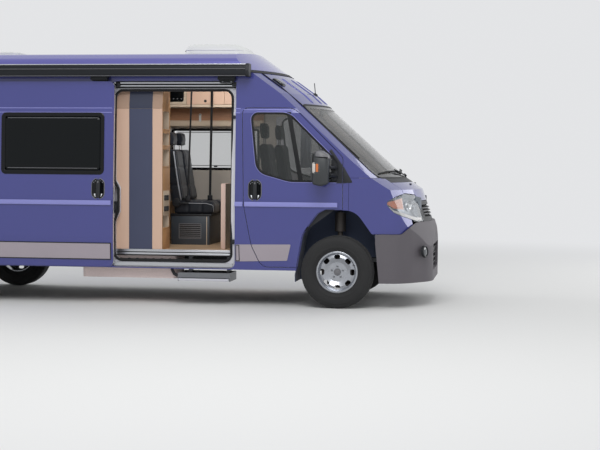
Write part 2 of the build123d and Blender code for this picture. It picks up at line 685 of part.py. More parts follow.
def awning_case():
    """Closed awning on the right roof edge, with its brackets."""
    rows = [(-968, AWNING_LOW_Z + 5, 6), (-1105, AWNING_LOW_Z, 25), (-1118, 2415, 20),
            (-1104, AWNING_HIGH_Z, 35), (-968, AWNING_HIGH_Z, 10)]
    case = front_slab(rows, AWNING_FRONT_X - AWNING_LENGTH, AWNING_FRONT_X)
    case -= block(-3000, 3000, -1200, -1108, 2424, 2430) + envelope(-5)
    for x in (-2300, -530, 812):
        foot = block(x, x + 178, -1040, -940, AWNING_LOW_Z - 32, AWNING_LOW_Z + 30)
        case += foot - envelope(-FIT)
    return case


def roof_unit():
    """Rounded air unit on the roof."""
    rows = [(225, 2560, 0), (240, 2752, 70), (800, 2752, 160), (1010, 2640, 30), (1010, 2560, 0)]
    unit = side_slab(rows, -350, 350)
    unit = unit & top_slab([(225, -350, 90), (1010, -330, 120), (1010, 330, 120), (225, 350, 90)], 2500, 2800)
    return unit - envelope(-FIT)


def step_housing():
    """Frame under the doorway whose cheeks guide the slide-out step."""
    low = STEP_Z - 6
    frame = block(STEP_REAR_X - 10, STEP_FRONT_X + 10, -985, -640, low, 340)
    frame -= block(STEP_REAR_X - FIT, STEP_FRONT_X + FIT, -1100, -650, low - 10, STEP_Z + STEP_THICK + 6)
    frame -= block(STEP_REAR_X + 10, STEP_FRONT_X - 10, -975, -650, low - 10, 325)
    for x in (STEP_REAR_X + 40, STEP_FRONT_X - 80):
        frame += block(x, x + 40, -700, -640, 330, FLOOR_UNDER_Z - FIT)
    return frame


def entrance_step():
    """Sliding tread of the entrance step."""
    return block(STEP_REAR_X, STEP_FRONT_X, -1005, -655, STEP_Z, STEP_Z + STEP_THICK)


def rim(x, y, side):
    """Pressed wheel with eight windows, hub face outwards."""
    rows = [(195, -RIM_HALF, 0), (RIM_RADIUS, -RIM_HALF, 0), (RIM_RADIUS, 77, 0), (FLANGE_RADIUS, 77, 0),
            (FLANGE_RADIUS, RIM_HALF, 0), (195, RIM_HALF, 0)]
    barrel = revolve(outline(rows), Axis.Y)
    dish = [(28, HUB_FACE, 0), (100, HUB_FACE, 10), (150, HUB_FACE + 25, 10), (197, HUB_FACE + 10, 0),
            (197, HUB_FACE + 22, 0), (150, HUB_FACE + 38, 10), (100, HUB_FACE + 14, 10), (28, HUB_FACE + 14, 0)]
    wheel = barrel + revolve(outline(dish), Axis.Y)
    window = side_slab([(132, -28, 18), (178, -34, 18), (178, 34, 18), (132, 28, 18)], 0, 120)
    for step in range(8):
        wheel -= Rot(0, 45 * step, 0) * window
    if side < 0:
        wheel = mirrored(wheel)
    return Pos(x, y, HUB_Z) * wheel


def tyre(x, y, side):
    """Plain tyre on its rim."""
    rows = [(RIM_RADIUS + FIT, -76, 0), (290, -TYRE_HALF, 0), (TYRE_RADIUS, -92, 0), (TYRE_RADIUS, 92, 0),
            (290, TYRE_HALF, 0), (FLANGE_RADIUS + 1, 76.5, 0), (RIM_RADIUS + FIT, 76.5, 0)]
    ring = revolve(outline(rows), Axis.Y)
    if side < 0:
        ring = mirrored(ring)
    return Pos(x, y, HUB_Z) * ring


def steering_knuckle():
    """Left hub carrier with brake disc, caliper and strut."""
    x = FRONT_AXLE_X
    hub = rod((x, 800, HUB_Z), (x, FRONT_WHEEL_Y + HUB_FACE - FIT, HUB_Z), 62)
    disc = rod((x, 874, HUB_Z), (x, 896, HUB_Z), DISC_RADIUS)
    carrier = block(x - 45, x + 45, 800, 845, BALL_Z + 25, HUB_Z + 130)
    foot = block(x - 24, x + 24, 800, BALL_Y + 5, BALL_Z + 22, BALL_Z + 44)
    ball_z = BALL_Z + ARM_RISE + FIT + BALL_RADIUS
    lean = (BALL_Y - STRUT_TOP_Y) / (STRUT_TOP_Z - BALL_Z)
    foot += Pos(x, BALL_Y - lean * (ball_z - BALL_Z), ball_z) * Sphere(BALL_RADIUS)
    caliper = block(x - 168, x - 90, 850, 915, HUB_Z - 55, HUB_Z + 55)
    caliper += block(x - 110, x - 30, 820, 850, HUB_Z - 30, HUB_Z + 30)
    neck = block(x - 35, x + 35, 735, 845, HUB_Z + 100, HUB_Z + 160)
    neck -= block(x - 60, x + 60, 788, 900, HUB_Z + 140, 700)
    strut = rod((x, 752, HUB_Z + 110), (x, STRUT_TOP_Y + 3, STRUT_TOP_Z - 15), 26)
    spring = rod((x, 726, 775), (x, STRUT_TOP_Y + 6, STRUT_TOP_Z - 30), 56)
    return hub + disc + carrier + foot + caliper + neck + strut + spring


def front_suspension():
    """Subframe, lower arms, steering rack and drive shafts."""
    x = FRONT_AXLE_X
    frame = block(x - 200, x + 210, -450, 450, 270, 330) - block(x - 130, x + 140, -370, 370, 200, 400)
    for side in (-1, 1):
        low, high = sorted((side * 405, side * 450))
        frame += block(x - 190, x - 140, low, high, 320, 400 - FIT)
        arm_rows = [(x - 170, side * 440, 0), (x + 170, side * 440, 0), (x + 24, side * 790, 20),
                    (x + 24, side * (BALL_Y + 5), 10), (x - 24, side * (BALL_Y + 5), 10),
                    (x - 24, side * 790, 20)]
        low_arm = top_slab(arm_rows, BALL_Z - 12, BALL_Z + ARM_RISE)
        frame += low_arm
        frame += block(x - 170, x + 170, low, high, BALL_Z - 12, 275)
        frame += rod((x + 165, side * 60, 345), (x + 165, side * 600, 345), 24)
        frame += rod((x, side * 300, 400), (x, side * 770, HUB_Z + 4), 20)
    frame += block(x + 120, x + 210, -330, 330, 320, 372)
    frame += block(x - 40, x + 160, -330, 330, 340, 428)
    return frame


def rear_axle():
    """Beam axle on leaf springs with its brakes."""
    x = REAR_AXLE_X
    axle = rod((x, -760, HUB_Z - 27), (x, 760, HUB_Z - 27), 36)
    for side in (-1, 1):
        axle += rod((x, side * 700, HUB_Z), (x, side * (REAR_WHEEL_Y + HUB_FACE - FIT), HUB_Z), 55)
        axle += rod((x, side * 812, HUB_Z), (x, side * 834, HUB_Z), DISC_RADIUS)
        low, high = sorted((side * 520, side * 590))
        rows = [(x - 700, 455, 0), (x - 350, 350, 900), (x, 318, 900), (x + 350, 350, 900), (x + 700, 455, 0),
                (x + 700, 440, 0), (x + 350, 335, 900), (x, 303, 900), (x - 350, 335, 900), (x - 700, 440, 0)]
        axle += side_slab(rows, low, high)
        axle += block(x - 60, x + 60, low, high, 300, 345)
        for end in (x - 700, x + 660):
            axle += block(end, end + 40, low, high, 430, FLOOR_UNDER_Z - FIT)
    return axle


def engine():
    """Engine and gearbox as one plain block across the nose."""
    return block(2290, 2740, -ENGINE_HALF, ENGINE_HALF, 440, 1040)


def exhaust():
    """Pipe and silencer under the floor."""
    pipe = rod((2290 - FIT, 150, 462), (1900, 150, 462), 28) + rod((1900, 150, 462), (-2780, 150, 462), 28)
    pipe += Pos(1900, 150, 462) * Sphere(28)
    return pipe + rod((-1150, 150, 445), (-500, 150, 445), 52) + rod((-2780, 150, 462), (-2880, 150, 420), 28)


def under_tanks():
    """Waste tank on the right, fuel tank on the left."""
    waste = block(-671, 345, -860, -465, 267, FLOOR_UNDER_Z - FIT)
    fuel = block(350, 1350, 465, 880, 300, FLOOR_UNDER_Z - FIT)
    return solids(fillet(waste.edges().filter_by(Axis.Z), 40), fillet(fuel.edges().filter_by(Axis.Z), 60))


def dashboard():
    """Dashboard across the cab with the steering wheel."""
    rows = [(1830, 900, 30), (1790, 1130, 60), (1880, 1262, 60), (PILLAR_X - FIT, 1275, 0),
            (PILLAR_X - FIT, 820, 0), (1960, 820, 60)]
    desk = side_slab(rows, -1000, 1000) & ROOM - arch_room(FRONT_ARCH, FRONT_LINER_Y)
    centre = Vector(1700, 430, 1200)
    tilt = Rot(0, -62, 0)
    wheel = Pos(*centre) * (tilt * (Torus(185, 14) + Cylinder(45, 40)))
    for step in range(3):
        wheel += Pos(*centre) * (tilt * (Rot(0, 0, 120 * step) * (Pos(95, 0, 0) * Box(170, 24, 12))))
    column = rod(centre, centre + Vector(cos(radians(28)), 0, -sin(radians(28))) * 170, 28)
    return desk + wheel + column


def cab_seats():
    """Two swivel seats on their boxes."""
    y = 480
    seat = block(1300, 1620, y - 200, y + 200, FLOOR_Z, 880)
    cushion = fillet(block(1230, 1760, y - 245, y + 245, 880, 1020).edges(), 30)
    rows = [(1260, 990, 40), (1380, 990, 40), (1270, 1700, 50), (1165, 1700, 50)]
    back = side_slab(rows, y - 240, y + 240)
    head = side_slab([(1170, 1725, 30), (1255, 1725, 30), (1240, 1900, 40), (1160, 1900, 40)], y - 120, y + 120)
    head += block(1195, 1220, y - 60, y - 45, 1680, 1740) + block(1195, 1220, y + 45, y + 60, 1680, 1740)
    return both_sides(seat + cushion + back + head)


def bench_seat():
    """Two-place bench on its box, facing forwards."""
    box = block(60, 500, 60, 880, FLOOR_Z, 905)
    cushion = block(75, 560, 60, 880, 905, 1045)
    back = side_slab([(60, 1000, 20), (190, 1045, 20), (90, 1640, 30), (-20, 1640, 30)], 60, 880)
    bench = box + cushion + back
    for y in (130, 560):
        bench += side_slab([(-30, 1660, 30), (75, 1660, 30), (60, 1820, 40), (-35, 1820, 40)], y, y + 250)
        bench += block(15, 30, y + 60, y + 75, 1600, 1680) + block(15, 30, y + 175, y + 190, 1600, 1680)
    return bench


def tall_cabinet():
    """Tall cupboard behind the doorway, with open shelves in its front end."""
    rows = [(-890, FLOOR_Z, 0), (-890, CABINET_KINK_Z, 0), (-830, CABINET_TOP_Z, 0),
            (-560, CABINET_TOP_Z, 0), (-560, FLOOR_Z, 0)]
    cabinet = front_slab(rows, CABINET_REAR_X, CABINET_FRONT_X)
    for low, high in SHELVES_Z:
        cabinet -= block(CABINET_FRONT_X - SHELF_DEPTH, CABINET_FRONT_X + 50, -860, -585, low, high)
    return cabinet


def cabinets():
    """Tall cupboard, overhead lockers with their wall board, and the low partition."""
    locker = block(-1500, 960, 560, 1000, 2103, 2400) & ROOM
    board = block(-1000, 960, 880, 1000, 1900, 2103) & ROOM
    partition = block(757, 801, -560, -250, FLOOR_Z, 1250)
    return solids(tall_cabinet(), locker + board, partition)


def rear_bed():
    """Bed across the rear on its front board."""
    base = block(-2870, -1050, -1000, 1000, 975, 1010) & ROOM
    mattress = block(-2870, -1040, -1000, 1000, 1010 + FIT, 1130) & envelope(WALL + 6)
    board = block(-1080, -1050, -1000, 1000, FLOOR_Z, 975) & ROOM
    return solids(base + board, mattress)


def rear_door():
    """Left rear door panel with its glass opening and hinges."""
    half = block(-3100, REAR_FACE_X + DOOR_THICK, 3, 1100, 300, 2400)
    panel = DOOR_LAYER & front_slab(REAR_DOORS, -3100, -2800) & half
    panel -= front_slab(REAR_GLASS, -3100, -2800)
    for z in REAR_HINGES_Z:
        strap = block(REAR_FACE_X - 18, REAR_FACE_X + 5, REAR_DOOR_HALF - 60, REAR_DOOR_HALF - 2, z, z + KNUCKLE)
        link = block(REAR_FACE_X - 18, REAR_FACE_X - 8, REAR_DOOR_HALF - 5, REAR_HINGE_Y, z, z + KNUCKLE)
        panel += rear_hinge(z) + strap + link
    return panel


def rear_door_glass():
    """Left rear door glass."""
    return GLASS_LAYER & front_slab(grown(REAR_GLASS, -FIT), -3100, -2900)


def wheel_places():
    """Name, X, Y and side of each wheel."""
    return [
        ("front_left", FRONT_AXLE_X, FRONT_WHEEL_Y, 1), ("front_right", FRONT_AXLE_X, -FRONT_WHEEL_Y, -1),
        ("rear_left", REAR_AXLE_X, REAR_WHEEL_Y, 1), ("rear_right", REAR_AXLE_X, -REAR_WHEEL_Y, -1),
    ]


FIXED = [
    side_panel_left, side_panel_right, roof_cap, roof_seal, cab_header, windscreen, rear_frame, tail_lamps,
    rear_bumper, floor_pan, frame_rails, wheel_liners, bulkhead, headlamps, front_wings, front_bumper, grille, sliding_door,
    body_windows, door_rails, side_cladding, awning_case, roof_unit, step_housing, front_suspension,
    rear_axle, engine, exhaust, under_tanks, dashboard, cab_seats, bench_seat, cabinets, rear_bed,
    bonnet, entrance_step,
]
PAIRS = [front_door, front_door_glass, door_cladding, door_mirror, rear_door, rear_door_glass, steering_knuckle]


def pieces():
    """Every piece of the vehicle by name."""
    for build in FIXED:
        yield build.__name__, build()
    for build in PAIRS:
        left = build()
        yield build.__name__ + "_left", left
        yield build.__name__ + "_right", mirrored(left)
    for name, x, y, side in wheel_places():
        yield "rim_" + name, rim(x, y, side)
        yield "tyre_" + name, tyre(x, y, side)


os.makedirs("parts", exist_ok=True)
for node, shape in pieces():
    export_step(shape, "parts/" + node + ".step")
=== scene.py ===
"""Looks of a camper van that stands with its side door slid open, built around its fixed frame.

Metres throughout: X forward, Y to the vehicle's left, Z up, origin on the ground under the middle.
"""

import logging
import math
from collections.abc import Callable, Iterable, Sequence
from dataclasses import dataclass, field
from enum import Enum

import bmesh
import bpy
from mathutils import Matrix, Vector
from mathutils.bvhtree import BVHTree

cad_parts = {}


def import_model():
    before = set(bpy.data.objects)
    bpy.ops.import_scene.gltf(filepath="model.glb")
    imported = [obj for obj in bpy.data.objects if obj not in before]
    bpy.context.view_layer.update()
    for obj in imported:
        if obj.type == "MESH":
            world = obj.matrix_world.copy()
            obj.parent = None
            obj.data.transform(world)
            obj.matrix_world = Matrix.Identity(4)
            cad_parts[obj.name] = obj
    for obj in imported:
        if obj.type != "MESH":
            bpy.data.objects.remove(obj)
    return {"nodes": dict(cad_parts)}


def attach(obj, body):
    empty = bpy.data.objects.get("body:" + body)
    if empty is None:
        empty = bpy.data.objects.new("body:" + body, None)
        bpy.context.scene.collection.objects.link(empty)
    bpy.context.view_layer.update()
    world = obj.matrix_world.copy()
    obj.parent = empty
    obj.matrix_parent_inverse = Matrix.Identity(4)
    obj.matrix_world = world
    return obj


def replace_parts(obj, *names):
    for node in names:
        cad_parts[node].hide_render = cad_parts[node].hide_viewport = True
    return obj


LOG = logging.getLogger("camper_van")

MM = 0.001
BODY = "body"
SIDES = {"right": -1, "left": 1}

# Half width of the body skin at rising heights, and how it narrows towards the nose
SECTION = ((0.200, 0.985), (0.470, 1.003), (0.700, 1.013), (1.090, 1.013), (1.340, 1.003), (1.990, 0.977),
           (2.036, 0.966), (2.430, 0.956), (2.545, 0.915), (2.608, 0.790))
PLAN_HALF = 1.016
TAPER_X = 1.750
TAPER = 0.0505
NOSE_RADIUS = 1.9

# Range of the curve that tells a paint the body's half width at a height
CURVE_HEIGHT = 3.0
CURVE_WIDTH = 1.2

# The sliding door stands open by this much, backwards and outwards
SLIDE_BACK = -1.264
SLIDE_OUT = 0.072

Point = Vector | tuple[float, float, float]
Place = Callable[[float, float, float], Vector]


def skin(x: float, z: float) -> float:
    """Half width of the body at a station and a height.

    Args:
        x: Station along the body.
        z: Height over the ground.

    Returns:
        Distance from the middle plane to the painted skin.
    """
    width = SECTION[0][1]
    for (low, narrow), (high, wide) in zip(SECTION, SECTION[1:]):
        if low <= z <= high:
            width = narrow + (wide - narrow) * (z - low) / (high - low)
        elif z > high:
            width = wide
    return min(width, PLAN_HALF - max(0.0, x - TAPER_X) * TAPER)


def rounded(rows: Iterable[tuple[float, float, float]], steps: int = 6) -> list[tuple[float, float]]:
    """Sample an outline whose corners are rounded.

    Args:
        rows: Across, up and corner radius of each corner.
        steps: Points along each rounded corner, less one.

    Returns:
        Points round the outline, anticlockwise.
    """
    rows = list(rows)
    area = sum(a[0] * b[1] - b[0] * a[1] for a, b in zip(rows, rows[1:] + rows[:1]))
    if area < 0:
        rows.reverse()
    points: list[tuple[float, float]] = []
    for index, (u, v, radius) in enumerate(rows):
        here = Vector((u, v))
        back = (Vector(rows[index - 1][:2]) - here).normalized()
        ahead = (Vector(rows[(index + 1) % len(rows)][:2]) - here).normalized()
        half = back.angle(ahead) / 2
        if radius <= 0 or half > math.radians(89):
            points.append((u, v))
            continue
        centre = here + (back + ahead).normalized() * radius / math.sin(half)
        start = here + back * radius / math.tan(half) - centre
        sweep = math.pi - 2 * half
        turn = 1 if back.x * ahead.y - back.y * ahead.x < 0 else -1
        for step in range(steps + 1):
            angle = turn * sweep * step / steps
            spun = Matrix.Rotation(angle, 2) @ start
            points.append((centre.x + spun.x, centre.y + spun.y))
    return points


def rectangle(low_u: float, low_v: float, high_u: float, high_v: float, radius: float,
              steps: int = 6) -> list[tuple[float, float]]:
    """Points round a rectangle with one corner radius."""
    return rounded([(low_u, low_v, radius), (high_u, low_v, radius), (high_u, high_v, radius),
                    (low_u, high_v, radius)], steps)


def grown(points: Sequence[tuple[float, float]], amount: float) -> list[tuple[float, float]]:
    """Move each point of a closed outline outwards along its own normal.

    Args:
        points: Anticlockwise outline.
        amount: Distance, below zero to shrink.

    Returns:
        The moved outline, with as many points.
    """
    moved = []
    for index, (u, v) in enumerate(points):
        before = Vector(points[index - 1])
        after = Vector(points[(index + 1) % len(points)])
        here = Vector((u, v))
        run_in = (here - before).normalized()
        run_out = (after - here).normalized()
        normal = Vector((run_in.y + run_out.y, -run_in.x - run_out.x))
        spread = max(0.35, 1 + run_in.dot(run_out))
        moved.append((u + amount * normal.x / spread, v + amount * normal.y / spread))
    return moved


@dataclass(frozen=True)
class Flank:
    """A side of the body: station, height and how far a point stands proud of the skin."""

    side: int
    back: float = 0.0
    out: float = 0.0

    def __call__(self, u: float, v: float, proud: float) -> Vector:
        """Give the place in the row frame."""
        return Vector((u + self.back, self.side * (skin(u, v) + self.out + proud), v))


@dataclass(frozen=True)
class Upright:
    """An upright plane across the vehicle: Y, Z and how far a point stands out along X."""

    x: float
    facing: int

    def __call__(self, u: float, v: float, proud: float) -> Vector:
        """Give the place in the row frame."""
        return Vector((self.x + self.facing * proud, u, v))


@dataclass(frozen=True)
class Along:
    """An upright plane along the vehicle: X, Z and how far a point stands out along Y."""

    y: float
    facing: int

    def __call__(self, u: float, v: float, proud: float) -> Vector:
        """Give the place in the row frame."""
        return Vector((u, self.y + self.facing * proud, v))


def linear(colour: str) -> tuple[float, float, float, float]:
    """Turn an sRGB hex colour into linear light with full alpha."""
    parts = [int(colour[index:index + 2], 16) / 255 for index in (1, 3, 5)]
    return (*(c / 12.92 if c <= 0.04045 else ((c + 0.055) / 1.055) ** 2.4 for c in parts), 1.0)


def add_node(tree: bpy.types.NodeTree, kind: str, settings: dict | None = None,
             links: dict | None = None) -> bpy.types.Node:
    """Add a shader node with its settings and links.

    Args:
        tree: Node tree that takes it.
        kind: Node type without its common prefix.
        settings: Attributes by name, and sockets by name or number.
        links: Output sockets by the name or number of the input that they feed.

    Returns:
        The new node.
    """
    node = tree.nodes.new("ShaderNode" + kind)
    for key, value in (settings or {}).items():
        if isinstance(key, str) and hasattr(node, key):
            setattr(node, key, value)
        else:
            node.inputs[key].default_value = value
    for key, source in (links or {}).items():
        tree.links.new(source, node.inputs[key])
    return node


# A wave texture turns 20 radians a metre at scale 1, so this divisor sets its bands 1.9 repeats apart
WAVE_SHARE = 6
# Scale of the soft patches in the tone of each finish
CLOUDS = 2.3


class Surface(Enum):
    """How a surface was made, which sets its pattern."""

    SPRAYED = "sprayed"
    MOULDED = "moulded"
    BRUSHED = "brushed"
    CAST = "cast"
    PEBBLED = "pebbled"
    GRAINED = "grained"
    WOVEN = "woven"
    POLISHED = "polished"
    FELTED = "felted"


@dataclass(frozen=True)
class Finish:
    """One material: what it is, how its surface was made and how it meets the light.

    Threads and grains are drawn at 2 mm or more, which is coarser than the real ones.
    """

    name: str
    colour: str
    surface: Surface
    roughness: float
    pattern_mm: float = 8.0
    relief_mm: float = 0.2
    shade: float = 0.08
    metallic: float = 0.0
    ior: float = 1.5
    coat: float = 0.0
    sheen: float = 0.0
    glow: float = 0.0
    alpha: float = 1.0
    stretch: tuple[float, float, float] = (1.0, 1.0, 1.0)

    def material(self) -> bpy.types.Material:
        """Give the material, made on first use."""
        made = bpy.data.materials.get(self.name)
        return made if made else self._make()

    def _make(self) -> bpy.types.Material:
        """Build the nodes of the material."""
        made = bpy.data.materials.new(self.name)
        made.use_nodes = True
        tree = made.node_tree
        shader = tree.nodes["Principled BSDF"]
        shader.inputs["Metallic"].default_value = self.metallic
        if not self.metallic:
            shader.inputs["IOR"].default_value = self.ior
        shader.inputs["Coat Weight"].default_value = self.coat
        shader.inputs["Coat Roughness"].default_value = 0.04
        shader.inputs["Sheen Weight"].default_value = self.sheen
        shader.inputs["Alpha"].default_value = self.alpha
        if self.glow:
            shader.inputs["Emission Color"].default_value = linear(self.colour)
            shader.inputs["Emission Strength"].default_value = self.glow
        height = self._pattern(tree)
        self._colour(tree, shader, height)
        self._relief(tree, shader, height)
        return made

    def _pattern(self, tree: bpy.types.NodeTree) -> bpy.types.NodeSocket:
        """Make the pattern that the way of making leaves, sized in real millimetres.

        The threads of a weave lie 1.9 times the pattern's size apart.
        """
        spot = add_node(tree, "TexCoord")
        scaled = add_node(tree, "Mapping", {"Scale": self.stretch}, {"Vector": spot.outputs["Object"]})
        repeat = 1000.0 / self.pattern_mm
        if self.surface is Surface.WOVEN:
            warp = add_node(tree, "TexWave", {"Scale": repeat / WAVE_SHARE, "Distortion": 0.6,
                                              "bands_direction": "X"}, {"Vector": scaled.outputs[0]})
            weft = add_node(tree, "TexWave", {"Scale": repeat / WAVE_SHARE, "Distortion": 0.6,
                                              "bands_direction": "Z"}, {"Vector": scaled.outputs[0]})
            return add_node(tree, "Math", {"operation": "MULTIPLY"},
                            {0: warp.outputs["Fac"], 1: weft.outputs["Fac"]}).outputs[0]
        if self.surface is Surface.PEBBLED:
            return add_node(tree, "TexVoronoi", {"feature": "SMOOTH_F1", "Scale": repeat, "Smoothness": 0.4},
                            {"Vector": scaled.outputs[0]}).outputs["Distance"]
        detail = 8.0 if self.surface in (Surface.GRAINED, Surface.BRUSHED) else 3.0
        return add_node(tree, "TexNoise", {"Scale": repeat, "Detail": detail, "Roughness": 0.6},
                        {"Vector": scaled.outputs[0]}).outputs["Fac"]

    def _colour(self, tree: bpy.types.NodeTree, shader: bpy.types.Node, height: bpy.types.NodeSocket) -> None:
        """Vary colour and gloss with the pattern and with slow cloudy patches."""
        spot = add_node(tree, "TexCoord")
        cloud = add_node(tree, "TexNoise", {"Scale": CLOUDS, "Detail": 4.0},
                         {"Vector": spot.outputs["Object"]})
        both = add_node(tree, "Math", {"operation": "ADD"}, {0: height, 1: cloud.outputs["Fac"]})
        factor = add_node(tree, "MapRange", {"From Min": 0.6, "From Max": 1.4, "To Min": 1 - self.shade,
                                             "To Max": 1 + self.shade}, {"Value": both.outputs[0]})
        tone = add_node(tree, "HueSaturation", {"Color": linear(self.colour)}, {"Value": factor.outputs[0]})
        tree.links.new(tone.outputs[0], shader.inputs["Base Color"])
        gloss = add_node(tree, "MapRange", {"To Min": max(0.0, self.roughness * 0.85),
                                            "To Max": min(1.0, self.roughness * 1.15)},
                         {"Value": cloud.outputs["Fac"]})
        tree.links.new(gloss.outputs[0], shader.inputs["Roughness"])

    def _relief(self, tree: bpy.types.NodeTree, shader: bpy.types.Node, height: bpy.types.NodeSocket) -> None:
        """Raise the pattern as relief, apart from on polished surfaces."""
        if self.surface is Surface.POLISHED:
            return
        bump = add_node(tree, "Bump", {"Strength": 0.5, "Distance": self.relief_mm * MM}, {"Height": height})
        tree.links.new(bump.outputs[0], shader.inputs["Normal"])


# Moulded ABS has a fine grain that keeps its sheen broad and grey
BLACK_ABS = Finish("moulded_abs_black", "#1F2125", Surface.MOULDED, 0.50, pattern_mm=3, relief_mm=0.2,
                   ior=1.42)
GLOSS_ABS = Finish("polished_abs_black", "#0E1013", Surface.POLISHED, 0.16, ior=1.33)
GREY_ABS = Finish("moulded_abs_grey", "#6B6B6E", Surface.MOULDED, 0.42, pattern_mm=3, relief_mm=0.15)
WHITE_ABS = Finish("moulded_abs_white", "#D9DAD8", Surface.MOULDED, 0.40, pattern_mm=4, relief_mm=0.1,
                   shade=0.04)
# Self-coloured polypropylene fades to a chalky warm grey
POLYPROPYLENE = Finish("moulded_polypropylene", "#A0979E", Surface.MOULDED, 0.62, pattern_mm=4, shade=0.07)
# Blow-moulded polyethylene, its pale pink raised as painted light where the body shades it
LIGHTENED_TANK_SHELL = Finish("moulded_polyethylene_painted_light", "#EAD8D4", Surface.MOULDED, 0.55, pattern_mm=12, shade=0.08)
# Grained bumper and mirror plastics stay matt, so their edges look soft
BUMPER_PLASTIC = Finish("moulded_polypropylene_dark", "#5A565B", Surface.MOULDED, 0.58, pattern_mm=4,
                        shade=0.07)
CHARCOAL_ABS = Finish("moulded_abs_charcoal", "#35383A", Surface.MOULDED, 0.46, pattern_mm=3, relief_mm=0.2)
# EPDM rubber is matt, with a thin bloom that lightens its edges
EPDM = Finish("extruded_epdm", "#141517", Surface.MOULDED, 0.72, pattern_mm=5, ior=1.4, sheen=0.08)
# Tyre and floor rubber are dry, with no hard highlight
TYRE_RUBBER = Finish("moulded_tyre_rubber", "#1E1E1F", Surface.MOULDED, 0.80, pattern_mm=6, sheen=0.1)
SLATE_RUBBER = Finish("moulded_rubber_slate", "#5D6478", Surface.MOULDED, 0.60, pattern_mm=5, sheen=0.1)
# Extruded aluminium under a black powder coat; the bright lines along the awning are painted highlights on
# separate strips
POWDER_COAT = Finish("powder_coated_aluminium", "#14171C", Surface.SPRAYED, 0.34, pattern_mm=3, relief_mm=0.1,
                     ior=1.36)
# Anodised aluminium is drawn along its length, which stretches its highlights
ALUMINIUM = Finish("anodised_aluminium", "#C4C6CA", Surface.BRUSHED, 0.30, pattern_mm=2, relief_mm=0.05,
                   metallic=1.0, stretch=(0.05, 1.0, 1.0))
# Cast alloy is blurred by its grain, and the lacquer on a rim adds a sharper reflection
CAST_ALLOY = Finish("cast_alloy", "#9EA0A4", Surface.CAST, 0.38, pattern_mm=6, metallic=1.0)
RIM_STEEL = Finish("lacquered_alloy_rim", "#A7AAB0", Surface.SPRAYED, 0.26, metallic=0.9, coat=0.4,
                   shade=0.04)
# Steel and iron under the floor are dipped black, brushed grey or rough from the sand
COATED_STEEL = Finish("e_coated_steel", "#202225", Surface.SPRAYED, 0.48, pattern_mm=20, shade=0.14)
BARE_STEEL = Finish("rolled_steel", "#7E8084", Surface.BRUSHED, 0.34, pattern_mm=3, metallic=1.0, shade=0.12)
CAST_IRON = Finish("sand_cast_iron", "#4A4644", Surface.CAST, 0.60, pattern_mm=5, metallic=0.8, shade=0.18)
EXHAUST_STEEL = Finish("aluminised_steel", "#83807B", Surface.CAST, 0.45, pattern_mm=30, metallic=1.0,
                       shade=0.2)
# Chrome mirrors what stands round it and has no tone of its own
CHROME = Finish("chromed_zinc", "#D8DADC", Surface.POLISHED, 0.08, metallic=1.0, shade=0.01)
# Laminated glass shows a faint green where its edge gathers light
GLASS = Finish("laminated_glass", "#121A18", Surface.POLISHED, 0.02, coat=1.0, alpha=0.42, shade=0.01)
SMOKED_GLASS = Finish("smoked_acrylic", "#131A1A", Surface.POLISHED, 0.03, coat=1.0, alpha=0.55, shade=0.02)
# Acrylic panes reflect less than glass, and tinted ones look nearly black from outside
CLEAR_ACRYLIC = Finish("clear_acrylic", "#3C4A44", Surface.POLISHED, 0.03, alpha=0.22, shade=0.02)
DARK_ACRYLIC = Finish("dark_tinted_acrylic", "#0A0E10", Surface.POLISHED, 0.07, ior=1.28, shade=0.03)
# A coloured lens is dyed right through, so it looks deepest where it is thickest
RED_LENS = Finish("red_acrylic_lens", "#8E1414", Surface.POLISHED, 0.10, coat=0.5, shade=0.05)
SMOKED_LENS = Finish("smoked_acrylic_lens", "#1B1C1F", Surface.POLISHED, 0.08, coat=0.6)
AMBER_LENS = Finish("amber_acrylic_lens", "#C86A2A", Surface.POLISHED, 0.12, coat=0.5, shade=0.05)
PALE_LENS = Finish("prismatic_acrylic_lens", "#C9C4BE", Surface.MOULDED, 0.18, pattern_mm=6, relief_mm=0.6)
# Leatherette is embossed with pebbles, and a light sheen lies on them
LEATHER = Finish("embossed_leatherette", "#191E27", Surface.PEBBLED, 0.46, pattern_mm=3, relief_mm=0.25,
                 ior=1.42, sheen=0.1)
# Woven threads show as fine ribs with a dull sheen
PIPING = Finish("woven_piping", "#A3A7AE", Surface.WOVEN, 0.70, pattern_mm=2, relief_mm=0.2)
WEBBING = Finish("woven_polyester_webbing", "#1A1B1E", Surface.WOVEN, 0.62, pattern_mm=2, relief_mm=0.3)
TICKING = Finish("woven_cotton_ticking", "#C8C0B4", Surface.WOVEN, 0.85, pattern_mm=3, relief_mm=0.3,
                 sheen=0.3)
# The pleated blind's grey-blue is painted much lighter, as painted light in the dark cab
LIGHTENED_FOLDED_BLIND = Finish("pleated_polyester_painted_light", "#DCE4F0", Surface.WOVEN, 0.80, pattern_mm=3, relief_mm=0.2)
# Needle felt has no direction: its loose fibres look matt and mottled
CARPET = Finish("needle_felt_lining", "#B8B2AA", Surface.FELTED, 0.95, pattern_mm=4, relief_mm=0.6, sheen=0.2)
DARK_FELT = Finish("needle_felt_dark", "#454E63", Surface.FELTED, 0.95, pattern_mm=5, relief_mm=0.8,
                   sheen=0.1)
# White diffusers glow evenly over their lamps
LIGHT_STRIP = Finish("opal_diffuser", "#FFF3E2", Surface.POLISHED, 0.30, glow=2.2, shade=0.01)
# The ABS edge band on the low partition is smooth and pale
PARTITION_EDGE = Finish("edge_band_abs", "#E4C6B8", Surface.SPRAYED, 0.45, pattern_mm=6, shade=0.03)
# White enamel in the door openings is smooth and faintly blue
WHITE_JAMB = Finish("white_enamel", "#C4C4CC", Surface.SPRAYED, 0.32, pattern_mm=4, relief_mm=0.05,
                    shade=0.03, coat=0.4)
# Small pressed pieces have the body's enamel, with a finer ripple, painted a shade lighter than the body as a
# highlight
LIGHTENED_TRIM_PAINT = Finish("metallic_enamel_trim", "#4B4E98", Surface.SPRAYED, 0.30, pattern_mm=3, relief_mm=0.05,
                    shade=0.03, metallic=0.25, coat=0.7)
